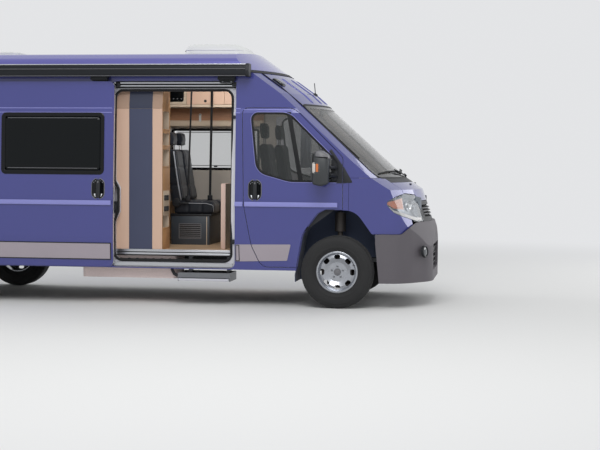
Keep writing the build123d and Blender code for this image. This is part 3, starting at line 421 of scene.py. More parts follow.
# High-pressure laminate on the furniture has an even low sheen
BEIGE_LAMINATE = Finish("beige_laminate", "#CFAE98", Surface.SPRAYED, 0.42, pattern_mm=6, shade=0.03)
# The next two are the beige and blue laminates darkened as painted shade, for the cabinet's upper panels
SHADED_BEIGE_LAMINATE = Finish("beige_laminate_painted_shade", "#A98C78", Surface.SPRAYED, 0.42, pattern_mm=6, shade=0.03)
SHADED_BLUE_LAMINATE = Finish("slate_blue_laminate_painted_shade", "#2C3247", Surface.SPRAYED, 0.42, pattern_mm=6, shade=0.03)
BLUE_LAMINATE = Finish("slate_blue_laminate", "#3A4059", Surface.SPRAYED, 0.45, pattern_mm=6, shade=0.05)
SLATE_LAMINATE = Finish("slate_grey_laminate", "#363D45", Surface.SPRAYED, 0.45, pattern_mm=6, shade=0.05)
CREAM_LAMINATE = Finish("cream_laminate", "#CDBBA6", Surface.SPRAYED, 0.45, pattern_mm=6, shade=0.04)
# Oiled wood shows darker year rings that run along the board
HONEY_WOOD = Finish("oiled_beech", "#BE9064", Surface.GRAINED, 0.40, pattern_mm=9, shade=0.22,
                    stretch=(1.0, 1.0, 0.08))
BROWN_WOOD = Finish("stained_walnut", "#BA8B6C", Surface.GRAINED, 0.38, pattern_mm=12, shade=0.25,
                    stretch=(0.07, 1.0, 1.0))
FLOOR_WOOD = Finish("oak_vinyl_plank", "#B39678", Surface.GRAINED, 0.42, pattern_mm=14, shade=0.22,
                    stretch=(0.06, 1.0, 1.0))


class Shape:
    """A mesh put together from worked forms: skinned loops, rounded blocks, tubes and turned parts."""

    def __init__(self) -> None:
        """Start empty."""
        self.bm = bmesh.new()

    def loops(self, rings: Sequence[Sequence[Point]], closed: bool = True, first_cap: bool = False,
              last_cap: bool = False) -> None:
        """Skin a run of rings that have equally many points.

        Args:
            rings: Rings of places in order.
            closed: Whether each ring closes on itself.
            first_cap: Whether a face closes the first ring.
            last_cap: Whether a face closes the last ring.
        """
        made = [[self.bm.verts.new(point) for point in ring] for ring in rings]
        for near, far in zip(made, made[1:]):
            for index in range(len(near) if closed else len(near) - 1):
                following = (index + 1) % len(near)
                self.bm.faces.new((near[index], near[following], far[following], far[index]))
        if first_cap:
            self.bm.faces.new(made[0])
        if last_cap:
            self.bm.faces.new(made[-1])

    def solid(self, rings: Sequence[Sequence[Point]]) -> None:
        """Skin a run of closed rings and close both ends."""
        self.loops(rings, first_cap=True, last_cap=True)

    def trim(self, points: Sequence[tuple[float, float]], profile: Sequence[tuple[float, float]],
             place: Place) -> None:
        """Sweep a closed profile round a closed outline.

        Args:
            points: Anticlockwise outline.
            profile: Distance outwards from the outline and height over the surface, in order.
            place: Turns outline points and a height into the row frame.
        """
        rings = [[place(u, v, proud) for u, v in grown(points, reach)] for reach, proud in profile]
        self.loops(rings + rings[:1])

    def plate(self, points: Sequence[tuple[float, float]], profile: Sequence[tuple[float, float]],
              place: Place) -> None:
        """Make a closed plate whose edge follows a profile from its back to its front face."""
        rings = [[place(u, v, proud) for u, v in grown(points, reach)] for reach, proud in profile]
        self.solid(rings)

    def block(self, low: Point, high: Point, radius: float = 0.004, steps: int = 2) -> None:
        """Make a box with rounded edges.

        Args:
            low: Lowest corner.
            high: Highest corner.
            radius: Edge radius.
            steps: Faces across each rounded edge.
        """
        verts = bmesh.ops.create_cube(self.bm, size=1.0)["verts"]
        for vert in verts:
            vert.co = [low[axis] + (vert.co[axis] + 0.5) * (high[axis] - low[axis]) for axis in range(3)]
        edges = list({edge for vert in verts for edge in vert.link_edges})
        width = min(radius, 0.45 * min(abs(high[axis] - low[axis]) for axis in range(3)))
        bmesh.ops.bevel(self.bm, geom=edges, offset=width, segments=steps, affect="EDGES", profile=0.5)

    def tube(self, points: Sequence[Point], section: Sequence[tuple[float, float]], closed: bool = False,
             up: Point = (0.0, 0.0, 1.0)) -> None:
        """Sweep a section along a path of points.

        Args:
            points: Path in the row frame.
            section: Across and up of each point of the section.
            closed: Whether the path closes on itself.
            up: Direction that the section's second axis keeps near to.
        """
        spots = [Vector(point) for point in points]
        rings = []
        for index, spot in enumerate(spots):
            before = spots[index - 1] if closed or index else spot
            after = spots[(index + 1) % len(spots)] if closed or index + 1 < len(spots) else spot
            run = (after - before).normalized()
            across = run.cross(Vector(up)).normalized()
            if across.length < 0.5:
                across = run.cross(Vector((0.0, 1.0, 0.01))).normalized()
            lift = across.cross(run).normalized()
            rings.append([spot + across * a + lift * b for a, b in section])
        if closed:
            self.loops(rings + rings[:1])
        else:
            self.solid(rings)

    def turned(self, rows: Sequence[tuple[float, float]], origin: Point, axis: Point,
               steps: int = 32) -> None:
        """Turn a profile round an axis.

        Args:
            rows: Radius and distance along the axis, in order.
            origin: Place of distance zero.
            axis: Direction of the axis.
            steps: Faces round the turn.
        """
        way = Vector(axis).normalized()
        start = way.orthogonal().normalized()
        rings = []
        for radius, along in rows:
            centre = Vector(origin) + way * along
            arm = start * max(radius, 1e-4)
            rings.append([centre + Matrix.Rotation(math.tau * step / steps, 3, way) @ arm
                          for step in range(steps)])
        self.solid(rings)

    def piece(self, name: str, finish: Finish, slot: str, body: str = BODY, crease: float = 35.0,
              edge: float = 0.0) -> bpy.types.Object:
        """Turn the mesh into a piece that rides on a body.

        Args:
            name: Name of the piece.
            finish: Its material.
            slot: Material slot of the record; not used.
            body: Body that it moves with.
            crease: Angle in degrees over which an edge stays sharp.
            edge: Width of the small radius on sharp edges, or zero.

        Returns:
            The new piece.
        """
        bmesh.ops.remove_doubles(self.bm, verts=self.bm.verts, dist=1e-6)
        bmesh.ops.recalc_face_normals(self.bm, faces=self.bm.faces)
        mesh = bpy.data.meshes.new(name)
        self.bm.to_mesh(mesh)
        self.bm.free()
        mesh.shade_smooth()
        mesh.set_sharp_from_angle(angle=math.radians(crease))
        made = bpy.data.objects.new(name, mesh)
        bpy.context.scene.collection.objects.link(made)
        made.data.materials.append(finish.material())
        if edge:
            bevel = made.modifiers.new("edge radius", "BEVEL")
            bevel.width = edge
            bevel.segments = 2
            bevel.limit_method = "ANGLE"
            bevel.angle_limit = math.radians(crease)
            bevel.harden_normals = True
        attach(made, body)
        LOG.info("%s on %s, %d faces", name, body, len(mesh.polygons))
        return made


def circle(radius: float, sides: int = 12) -> list[tuple[float, float]]:
    """Points round a circle."""
    return [(radius * math.cos(math.tau * step / sides), radius * math.sin(math.tau * step / sides))
            for step in range(sides)]


def flat_section(width: float, thick: float) -> list[tuple[float, float]]:
    """Section of a flat strip with softened edges."""
    half, rise = width / 2, thick / 2
    return [(-half, -rise * 0.4), (-half * 0.9, -rise), (half * 0.9, -rise), (half, -rise * 0.4),
            (half, rise * 0.4), (half * 0.9, rise), (-half * 0.9, rise), (-half, rise * 0.4)]


def spread(low: Point, high: Point) -> tuple[list[float], list[float]]:
    """Sort two opposite corners into the lowest and the highest."""
    return [min(a, b) for a, b in zip(low, high)], [max(a, b) for a, b in zip(low, high)]


def dress(node: bpy.types.Object, material: bpy.types.Material) -> None:
    """Give a node of the frame one material on every slot that it has."""
    node.data.materials.clear()
    node.data.materials.append(material)


@dataclass(frozen=True)
class Zone:
    """Where a painted panel shows its outer colour: how far it is shifted, and whether it has a lining."""

    shift_out: float = 0.0
    lined: bool = True
    skin_depth: float = 0.014
    wall_depth: float = 0.055


@dataclass(frozen=True)
class PanelPaint:
    """Metallic enamel outside, white enamel in the door openings and needle felt on the inner faces.

    Metallic enamel has a coloured layer with fine flakes under a clear coat, which gives the eye a deep
    colour with a sharp reflection on top.
    """

    name: str
    zone: Zone
    outer: str = "#383C84"
    jamb: str = "#C9C9CF"
    lining: str = "#C4BCB2"

    def material(self) -> bpy.types.Material:
        """Build the paint."""
        made = bpy.data.materials.new(self.name)
        made.use_nodes = True
        tree = made.node_tree
        shader = tree.nodes["Principled BSDF"]
        shader.inputs["Coat Weight"].default_value = 1.0
        shader.inputs["Coat Roughness"].default_value = 0.04
        outside = self._outside(tree)
        inside = self._inside(tree)
        flakes = self._flakes(tree)
        colour = add_node(tree, "Mix", {"data_type": "RGBA", 6: linear(self.jamb)}, {0: outside, 7: flakes})
        lined = add_node(tree, "Mix", {"data_type": "RGBA", 7: linear(self.lining)},
                         {0: inside, 6: colour.outputs[2]})
        tree.links.new(lined.outputs[2], shader.inputs["Base Color"])
        metal = add_node(tree, "Math", {"operation": "MULTIPLY", 1: 0.25}, {0: outside})
        tree.links.new(metal.outputs[0], shader.inputs["Metallic"])
        gloss = add_node(tree, "MapRange", {"To Min": 0.34, "To Max": 0.95}, {"Value": inside})
        tree.links.new(gloss.outputs[0], shader.inputs["Roughness"])
        return made

    def _flakes(self, tree: bpy.types.NodeTree) -> bpy.types.NodeSocket:
        """Colour the flakes, and broad soft patches where the spray lay thicker.

        Real flakes are under 0.1 mm. Cells of 1 mm stand for them here.
        """
        spot = add_node(tree, "TexCoord")
        cells = add_node(tree, "TexVoronoi", {"Scale": 1000.0}, {"Vector": spot.outputs["Object"]})
        cloud = add_node(tree, "TexNoise", {"Scale": 1.1, "Detail": 2.0}, {"Vector": spot.outputs["Object"]})
        both = add_node(tree, "Math", {"operation": "ADD"},
                        {0: cells.outputs["Distance"], 1: cloud.outputs["Fac"]})
        value = add_node(tree, "MapRange", {"From Min": 0.5, "From Max": 1.6, "To Min": 0.94, "To Max": 1.08},
                         {"Value": both.outputs[0]})
        tone = add_node(tree, "HueSaturation", {"Color": linear(self.outer)}, {"Value": value.outputs[0]})
        return tone.outputs[0]

    def _depth(self, tree: bpy.types.NodeTree, place: bpy.types.Node) -> bpy.types.NodeSocket:
        """Measure how deep a point lies under the body skin."""
        curve = add_node(tree, "FloatCurve", {},
                         {"Value": self._math(tree, "DIVIDE", place.outputs["Z"], CURVE_HEIGHT)})
        points = curve.mapping.curves[0].points
        points[0].location = (0.0, SECTION[0][1] / CURVE_WIDTH)
        points[1].location = (1.0, SECTION[-1][1] / CURVE_WIDTH)
        for height, width in SECTION:
            points.new(height / CURVE_HEIGHT, width / CURVE_WIDTH)
        for point in points:
            point.handle_type = "VECTOR"
        curve.mapping.update()
        width = self._math(tree, "MULTIPLY", curve.outputs[0], CURVE_WIDTH)
        ahead = self._math(tree, "MAXIMUM", self._math(tree, "SUBTRACT", place.outputs["X"], TAPER_X), 0.0)
        plan = self._math(tree, "MULTIPLY_ADD", ahead, -TAPER, PLAN_HALF)
        narrow = self._math(tree, "MINIMUM", width, plan)
        reach = self._math(tree, "SUBTRACT", self._math(tree, "ABSOLUTE", place.outputs["Y"]),
                           self.zone.shift_out)
        return self._math(tree, "SUBTRACT", narrow, reach)

    @staticmethod
    def _math(tree: bpy.types.NodeTree, operation: str, *values: object) -> bpy.types.NodeSocket:
        """Work out one sum from sockets and plain numbers."""
        numbers = {index: value for index, value in enumerate(values) if isinstance(value, float)}
        sockets = {index: value for index, value in enumerate(values) if not isinstance(value, float)}
        return add_node(tree, "Math", {"operation": operation, **numbers}, sockets).outputs[0]

    def _outside(self, tree: bpy.types.NodeTree) -> bpy.types.NodeSocket:
        """Mark the outer skin: shallow depth on the flanks, or a slope that faces forwards."""
        spot = add_node(tree, "TexCoord")
        place = add_node(tree, "SeparateXYZ", {}, {0: spot.outputs["Object"]})
        facing = add_node(tree, "SeparateXYZ", {}, {0: spot.outputs["Normal"]})
        depth = self._depth(tree, place)
        shallow = self._math(tree, "LESS_THAN", depth, self.zone.skin_depth)
        ahead = self._math(tree, "GREATER_THAN", place.outputs["X"], 1.5)
        slope = self._math(tree, "GREATER_THAN", facing.outputs["X"], 0.3)
        high = self._math(tree, "GREATER_THAN", place.outputs["Z"], 1.3)
        sloping = self._math(tree, "MULTIPLY", self._math(tree, "MULTIPLY", ahead, slope), high)
        roof = self._math(tree, "MULTIPLY", self._math(tree, "GREATER_THAN", place.outputs["Z"], 2.0),
                          self._math(tree, "MULTIPLY", slope, self._math(tree, "GREATER_THAN",
                                                                         place.outputs["X"], 1.15)))
        return self._math(tree, "MAXIMUM", self._math(tree, "MAXIMUM", shallow, sloping),
                          self._math(tree, "MAXIMUM", roof, self._arches(tree, place)))

    def _arches(self, tree: bpy.types.NodeTree, place: bpy.types.Node) -> bpy.types.NodeSocket:
        """Mark the lips of the wheel arches, which are sprayed with the outside."""
        lips = []
        for low, high, top in ((1.55, 2.60, 1.02), (-2.42, -1.55, 0.95)):
            ahead = self._math(tree, "GREATER_THAN", place.outputs["X"], low)
            behind = self._math(tree, "LESS_THAN", place.outputs["X"], high)
            under = self._math(tree, "LESS_THAN", place.outputs["Z"], top)
            lips.append(self._math(tree, "MULTIPLY", self._math(tree, "MULTIPLY", ahead, behind), under))
        return self._math(tree, "MAXIMUM", *lips)

    def _inside(self, tree: bpy.types.NodeTree) -> bpy.types.NodeSocket:
        """Mark the faces that look into the living space."""
        spot = add_node(tree, "TexCoord")
        place = add_node(tree, "SeparateXYZ", {}, {0: spot.outputs["Object"]})
        facing = add_node(tree, "SeparateXYZ", {}, {0: spot.outputs["Normal"]})
        deep = self._math(tree, "GREATER_THAN", self._depth(tree, place), self.zone.wall_depth)
        inward = self._math(tree, "LESS_THAN",
                            self._math(tree, "MULTIPLY", facing.outputs["Y"], place.outputs["Y"]), -0.3)
        both = self._math(tree, "MULTIPLY", deep, inward)
        return self._math(tree, "MULTIPLY", both, 1.0 if self.zone.lined else 0.0)


@dataclass(frozen=True)
class ShellPaint(PanelPaint):
    """The same enamel on a panel whose outer face simply looks away from the middle of the body."""

    centre: tuple[float, float, float] = (0.0, 0.0, 1.2)

    def _outside(self, tree: bpy.types.NodeTree) -> bpy.types.NodeSocket:
        """Mark the faces that look away from the middle."""
        spot = add_node(tree, "TexCoord")
        away = add_node(tree, "VectorMath", {"operation": "SUBTRACT", 1: self.centre},
                        {0: spot.outputs["Object"]})
        dot = add_node(tree, "VectorMath", {"operation": "DOT_PRODUCT"},
                       {0: away.outputs[0], 1: spot.outputs["Normal"]})
        return self._math(tree, "GREATER_THAN", dot.outputs["Value"], 0.0)

    def _inside(self, tree: bpy.types.NodeTree) -> bpy.types.NodeSocket:
        """Mark the faces that look towards the middle."""
        return self._math(tree, "MULTIPLY", self._math(tree, "SUBTRACT", 1.0, self._outside(tree)),
                          1.0 if self.zone.lined else 0.0)


@dataclass
class Bodywork:
    """Painted panels, cladding, seals and structure that keep their shapes from the frame."""

    nodes: dict
    plain: dict[str, Finish] = field(default_factory=lambda: {"roof_seal": EPDM, "rear_bumper": BLACK_ABS,
                                                              "bulkhead": BLACK_ABS,
                                                              "front_bumper": BUMPER_PLASTIC,
                                                              "grille": BLACK_ABS,
                                                              "wheel_liners": DARK_FELT,
                                                              "side_cladding": POLYPROPYLENE,
                                                              "door_cladding_left": POLYPROPYLENE,
                                                              "door_cladding_right": POLYPROPYLENE,
                                                              "step_housing": BARE_STEEL,
                                                              "front_suspension": CAST_IRON,
                                                              "rear_axle": COATED_STEEL,
                                                              "engine": CAST_ALLOY,
                                                              "exhaust": EXHAUST_STEEL,
                                                              "under_tanks": LIGHTENED_TANK_SHELL,
                                                              "windscreen": GLASS,
                                                              "front_door_glass_left": GLASS,
                                                              "front_door_glass_right": GLASS,
                                                              "rear_door_glass_left": SMOKED_GLASS,
                                                              "rear_door_glass_right": SMOKED_GLASS,
                                                              "door_rails": ALUMINIUM,
                                                              "steering_knuckle_left": CAST_IRON,
                                                              "steering_knuckle_right": CAST_IRON,
                                                              "entrance_step": ALUMINIUM,
                                                              "awning_case": POWDER_COAT,
                                                              "dashboard": BLACK_ABS,
                                                              "cabinets": CREAM_LAMINATE,
                                                              "floor_pan": COATED_STEEL,
                                                              "frame_rails": COATED_STEEL,})

    def build(self) -> None:
        """Dress every panel."""
        flank = PanelPaint("metallic_enamel_flank", Zone()).material()
        door = PanelPaint("metallic_enamel_door", Zone(lined=False)).material()
        slider = PanelPaint("metallic_enamel_sliding_door", Zone(shift_out=SLIDE_OUT, lined=False)).material()
        shell = ShellPaint("metallic_enamel_shell", Zone()).material()
        nose = ShellPaint("metallic_enamel_nose", Zone(lined=False), jamb="#2B2D52",
                          centre=(1.2, 0.0, 0.9)).material()
        roof = ShellPaint("metallic_enamel_header", Zone(), centre=(0.0, 0.0, 1.6)).material()
        # The roof cap's enamel is lighter than the flanks' as painted light of the sky on its upward-leaning
        # sides
        cap = ShellPaint("metallic_enamel_roof_painted_light", Zone(), outer="#5856A4", centre=(0.0, 0.0, 1.6)).material()
        for node in ("side_panel_left", "side_panel_right"):
            dress(self.nodes[node], flank)
        for node in ("front_door_left", "front_door_right"):
            dress(self.nodes[node], door)
        dress(self.nodes["sliding_door"], slider)
        for node in ("rear_frame", "rear_door_left", "rear_door_right"):
            dress(self.nodes[node], shell)
        for node in ("bonnet", "front_wings"):
            dress(self.nodes[node], nose)
        dress(self.nodes["cab_header"], roof)
        dress(self.nodes["roof_cap"], cap)
        for node in self.nodes:
            if node.startswith("rim_"):
                dress(self.nodes[node], RIM_STEEL.material())
        dress(self.nodes["tail_lamps"], BandedLens().material())
        for node, finish in self.plain.items():
            dress(self.nodes[node], finish.material())
        LOG.info("bodywork dressed, %d nodes with one finish each", len(self.plain))


# Outlines on the flanks in metres: station, height, corner radius
DOOR_WINDOW = ((1.148, 1.993, 0.070), (1.545, 1.993, 0.190), (2.058, 1.488, 0.025), (2.058, 1.290, 0.025),
               (1.560, 1.290, 0.380), (1.215, 1.385, 0.150))
SLIDE_WINDOW = (-0.210, 1.358, 0.876, 1.977)
LIVING_WINDOW = (-0.150, 1.385, 0.900, 1.870)
REAR_WINDOW = (-2.700, 1.500, -1.850, 1.900)
DOORWAY = (-0.294, 0.460, 0.945, 2.221)
DOOR_HANDLE_X = 1.200
SLIDE_HANDLE_X = 0.827
HANDLE_Z = 1.201


@dataclass
class BodyWindows:
    """Hinged acrylic windows in their frames, which replace the plain ones."""

    proud: float = 0.008

    def build(self) -> None:
        """Build each window's frame and pane, with a black sheet of painted shade behind the dark panes."""
        right, left = Flank(-1), Flank(1)
        slid = Flank(-1, SLIDE_BACK, SLIDE_OUT)
        pieces = [self.window("living", LIVING_WINDOW, left, CLEAR_ACRYLIC),
                  self.window("rear_left", REAR_WINDOW, left, DARK_ACRYLIC),
                  self.window("rear_right", REAR_WINDOW, right, DARK_ACRYLIC),
                  self.window("slide", SLIDE_WINDOW, slid, DARK_ACRYLIC)]
        for frame in pieces:
            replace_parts(frame, "body_windows")

    def window(self, name: str, sizes: tuple[float, float, float, float], place: Flank,
               pane: Finish) -> bpy.types.Object:
        """Build one window.

        Args:
            name: Start of its pieces' names.
            sizes: Lowest and highest corners of the opening in the panel.
            place: Side of the body that it sits in.
            pane: Finish of its pane.

        Returns:
            The window's frame.
        """
        outline = rectangle(*sizes, 0.040, steps=8)
        frame = Shape()
        frame.trim(outline, [(0.010, 0.0005), (0.012, self.proud * 0.6), (0.006, self.proud),
                             (-0.022, self.proud), (-0.030, 0.002), (-0.030, -0.050), (-0.001, -0.050),
                             (-0.001, 0.0005)], place)
        made = frame.piece(name + "_window_frame", GLOSS_ABS, "dark_acrylic", crease=30)
        lens = Shape()
        low_u, low_v, high_u, high_v = sizes
        rows = ((0.034, -0.022, 0.040), (0.031, -0.016, 0.040), (0.031, 0.000, 0.040), (0.036, 0.004, 0.038),
                (0.070, 0.0075, 0.050), (0.120, 0.010, 0.060))
        rings = [[place(u, v, proud) for u, v in rectangle(low_u + inset, low_v + inset, high_u - inset,
                                                           high_v - inset, radius, 8)]
                 for inset, proud, radius in rows]
        lens.solid(rings)
        lens.piece(name + "_window_pane", pane, "dark_acrylic", crease=60)
        # Thin grey lines along the pane's top and bottom are painted highlights
        rim = Shape()
        for v in (low_v + 0.050, high_v - 0.048):
            rim.solid([[place(u, v + rise, proud) for rise,
                        proud in ((0.0, 0.006), (0.002, 0.0095), (0.005, 0.0095), (0.007, 0.006))]
                       for u in (low_u + 0.060, high_u - 0.060)])
        rim.piece(name + "_window_highlight_lines", GREY_ABS, "dark_acrylic")
        if pane is DARK_ACRYLIC:
            # Behind a dark pane a black sheet is painted shade of the dark inside
            blind = Shape()
            blind.plate(outline, [(-0.034, -0.050), (-0.034, -0.044)], place)
            blind.piece(name + "_window_blind", BLACK_ABS, "dark_acrylic")
        else:
            self.catches(name, sizes, place)
        return made

    def catches(self, name: str, sizes: tuple[float, float, float, float], place: Flank) -> None:
        """Build the inner catches and stays of a window that opens."""
        shape = Shape()
        low_u, low_v, high_u, _ = sizes
        for share in (0.2, 0.5, 0.8):
            u = low_u + share * (high_u - low_u)
            shape.block(*spread(place(u - 0.02, low_v + 0.035, -0.050),
                                place(u + 0.02, low_v + 0.055, -0.026)), 0.004)
        shape.piece(name + "_window_catches", BLACK_ABS, "dark_acrylic")


@dataclass
class DoorWindows:
    """Rubbers, black corner panels and inner trims of the front doors."""

    card_depth: float = -0.045

    def build(self) -> None:
        """Build both doors' trims."""
        for name, side in SIDES.items():
            body = "front_door_" + name
            place = Flank(side)
            outline = rounded(DOOR_WINDOW, 8)
            seal = Shape()
            seal.trim(outline, [(0.004, 0.0005), (0.003, 0.004), (-0.010, 0.003), (-0.017, -0.004),
                                (-0.002, -0.008)], place)
            seal.piece("window_rubber_" + name, EPDM, "seal_rubber", body)
            # The lip round the window takes the lighter enamel as painted highlight
            lip = Shape()
            lip.trim(outline, [(0.011, 0.0005), (0.009, 0.0045), (0.005, 0.0045), (0.004, 0.0005)], place)
            lip.piece("window_lip_" + name, HIGHLIGHT_PAINT, "body_paint", body)
            self.corner(name, body, place)
            self.bar(name, body, place)
            self.card(name, body, place)

    def corner(self, name: str, body: str, place: Flank) -> None:
        """Build the black triangle that the mirror foot stands on."""
        rows = [(1.985, 1.300, 0.012), (2.052, 1.300, 0.012), (2.052, 1.470, 0.020), (1.985, 1.545, 0.012)]
        panel = Shape()
        panel.plate(rounded(rows, 3), [(-0.001, -0.012), (0.0, 0.0), (-0.004, 0.004)], place)
        rows = [(2.040, 1.279, 0.004), (2.1000, 1.279, 0.003), (2.1000, 1.462, 0.015), (1.985, 1.628, 0.006),
                (1.962, 1.598, 0.004), (2.042, 1.500, 0.006)]
        panel.plate(rounded(rows, 3), [(0.0, 0.0005), (0.0, 0.0052), (-0.002, 0.0060)], place)
        panel.piece("mirror_corner_" + name, BLACK_ABS, "black_plastic", body)
        wing = Shape()
        rows = [(2.1078, 1.279, 0.003), (2.206, 1.286, 0.010), (2.1078, 1.458, 0.004)]
        wing.plate(rounded(rows, 3), [(0.0, 0.0006), (0.0, 0.003), (-0.003, 0.0045)], place)
        wing.piece("pillar_corner_" + name, BLACK_ABS, "black_plastic")

    def bar(self, name: str, body: str, place: Flank) -> None:
        """Build the rubber-faced bar between the two panes."""
        cover = Shape()
        rows = [(1.519, 2.000, 0.0), (1.565, 2.000, 0.0), (1.700, 1.284, 0.0), (1.654, 1.284, 0.0)]
        cover.plate(rounded(rows, 2), [(0.0, -0.004), (0.0, 0.001), (-0.006, 0.004)], place)
        cover.piece("window_bar_" + name, EPDM, "seal_rubber", body)

    def card(self, name: str, body: str, place: Flank) -> None:
        """Build the inner trim card with its armrest, and the folded blind of the left door."""
        rows = [(1.13, 1.262, 0.05), (2.05, 1.262, 0.03), (2.05, 1.030, 0.04), (1.60, 0.700, 0.15),
                (1.24, 0.700, 0.06), (1.15, 1.00, 0.10)]
        card = Shape()
        depth = self.card_depth
        card.plate(rounded(rows, 4), [(0.0, depth - 0.0006), (0.0, depth - 0.010), (-0.012, depth - 0.018)],
                   place)
        card.piece("door_card_" + name, BLACK_ABS, "dash_plastic", body)
        rest = Shape()
        rest.block(*spread(place(1.26, 1.060, depth - 0.052), place(1.62, 1.100, depth - 0.012)), 0.012, 3)
        rest.piece("door_armrest_" + name, LEATHER, "dash_plastic", body)
        if name == "left":
            self.blind(body, place)

    @staticmethod
    def blind(body: str, place: Flank) -> None:
        """Build the folded pleated blind that stands in its rail on the door window."""
        shape = Shape()
        for step in range(8):
            x = 1.380 + 0.016 * step
            shape.solid([[place(x + shift, z, depth) for shift, depth in ((0.0, -0.048), (0.004, -0.082),
                                                                          (0.009, -0.082), (0.013, -0.048))]
                         for z in (1.420, 1.912)])
        shape.piece("cab_window_blind", LIGHTENED_FOLDED_BLIND, "bed_fabric", body)


@dataclass
class Handles:
    """Oval bowls with an upright grip and a lock, on the front doors and the sliding door."""

    half_width: float = 0.063
    half_height: float = 0.101

    def build(self) -> None:
        """Build the handles of the flanks."""
        for name, side in SIDES.items():
            self.handle("door_handle_" + name, DOOR_HANDLE_X, Flank(side), "front_door_" + name)
        self.handle("slide_handle", SLIDE_HANDLE_X, Flank(-1, SLIDE_BACK, SLIDE_OUT), BODY)

    def handle(self, name: str, u: float, place: Flank, body: str) -> None:
        """Build one handle.

        Args:
            name: Start of its pieces' names.
            u: Station of its middle.
            place: Side of the body that it sits in.
            body: Body that it moves with.
        """
        outline = rectangle(u - self.half_width, HANDLE_Z - self.half_height, u + self.half_width,
                            HANDLE_Z + self.half_height, 0.058)
        bowl = Shape()
        bowl.plate(outline, [(-0.045, -0.0150), (-0.028, -0.0145), (-0.014, -0.0075), (0.004, 0.0004),
                             (0.004, 0.003), (-0.002, 0.005), (-0.008, 0.002), (-0.014, -0.006),
                             (-0.028, -0.012), (-0.045, -0.0135)], place)
        bowl.piece(name + "_bowl", GLOSS_ABS, "black_plastic", body, crease=60)
        rim = Shape()
        rim.trim(outline, [(0.009, 0.0006), (0.008, 0.0036), (0.005, 0.0046), (0.003, 0.0040),
                           (0.003, 0.0006)], place)
        rim.piece(name + "_rim", GREY_ABS, "rail_alloy", body)
        # Aluminium crescents low in the bowl and thin arcs near its top are painted highlights of the sky in
        # the glossy bowl
        painted_glints = Shape()
        for turn in (-1, 1):
            rows = [(u + turn * 0.022, HANDLE_Z - 0.090, 0.004), (u + turn * 0.036, HANDLE_Z - 0.088, 0.010),
                    (u + turn * 0.050, HANDLE_Z - 0.050, 0.006), (u + turn * 0.030, HANDLE_Z - 0.050, 0.006)]
            painted_glints.plate(rounded(rows[::turn], 3), [(0.0, -0.0120), (0.0, -0.003), (-0.003, 0.0005)], place)
            arc = [place(u + turn * across, HANDLE_Z + up, -0.002)
                   for across, up in ((0.047, 0.060), (0.043, 0.076), (0.034, 0.083), (0.026, 0.078))]
            painted_glints.tube(arc, circle(0.0028, 8))
        painted_glints.piece(name + "_painted_highlights", ALUMINIUM, "rail_alloy", body, crease=60)
        grip = Shape()
        grip.plate(rectangle(u - 0.021, HANDLE_Z - 0.100, u + 0.021, HANDLE_Z + 0.100, 0.018, 4),
                   [(0.0, -0.010), (0.001, 0.004), (-0.004, 0.010), (-0.012, 0.012)], place)
        grip.piece(name + "_grip", BLACK_ABS, "black_plastic", body, crease=60)
        lock = Shape()
        lock.turned([(0.009, -0.004), (0.009, 0.002), (0.007, 0.0035), (0.003, 0.0035)],
                    place(u, HANDLE_Z + 0.070, 0.011), (0, place.side, 0), 20)
        lock.piece(name + "_lock", GREY_ABS, "rail_alloy", body)


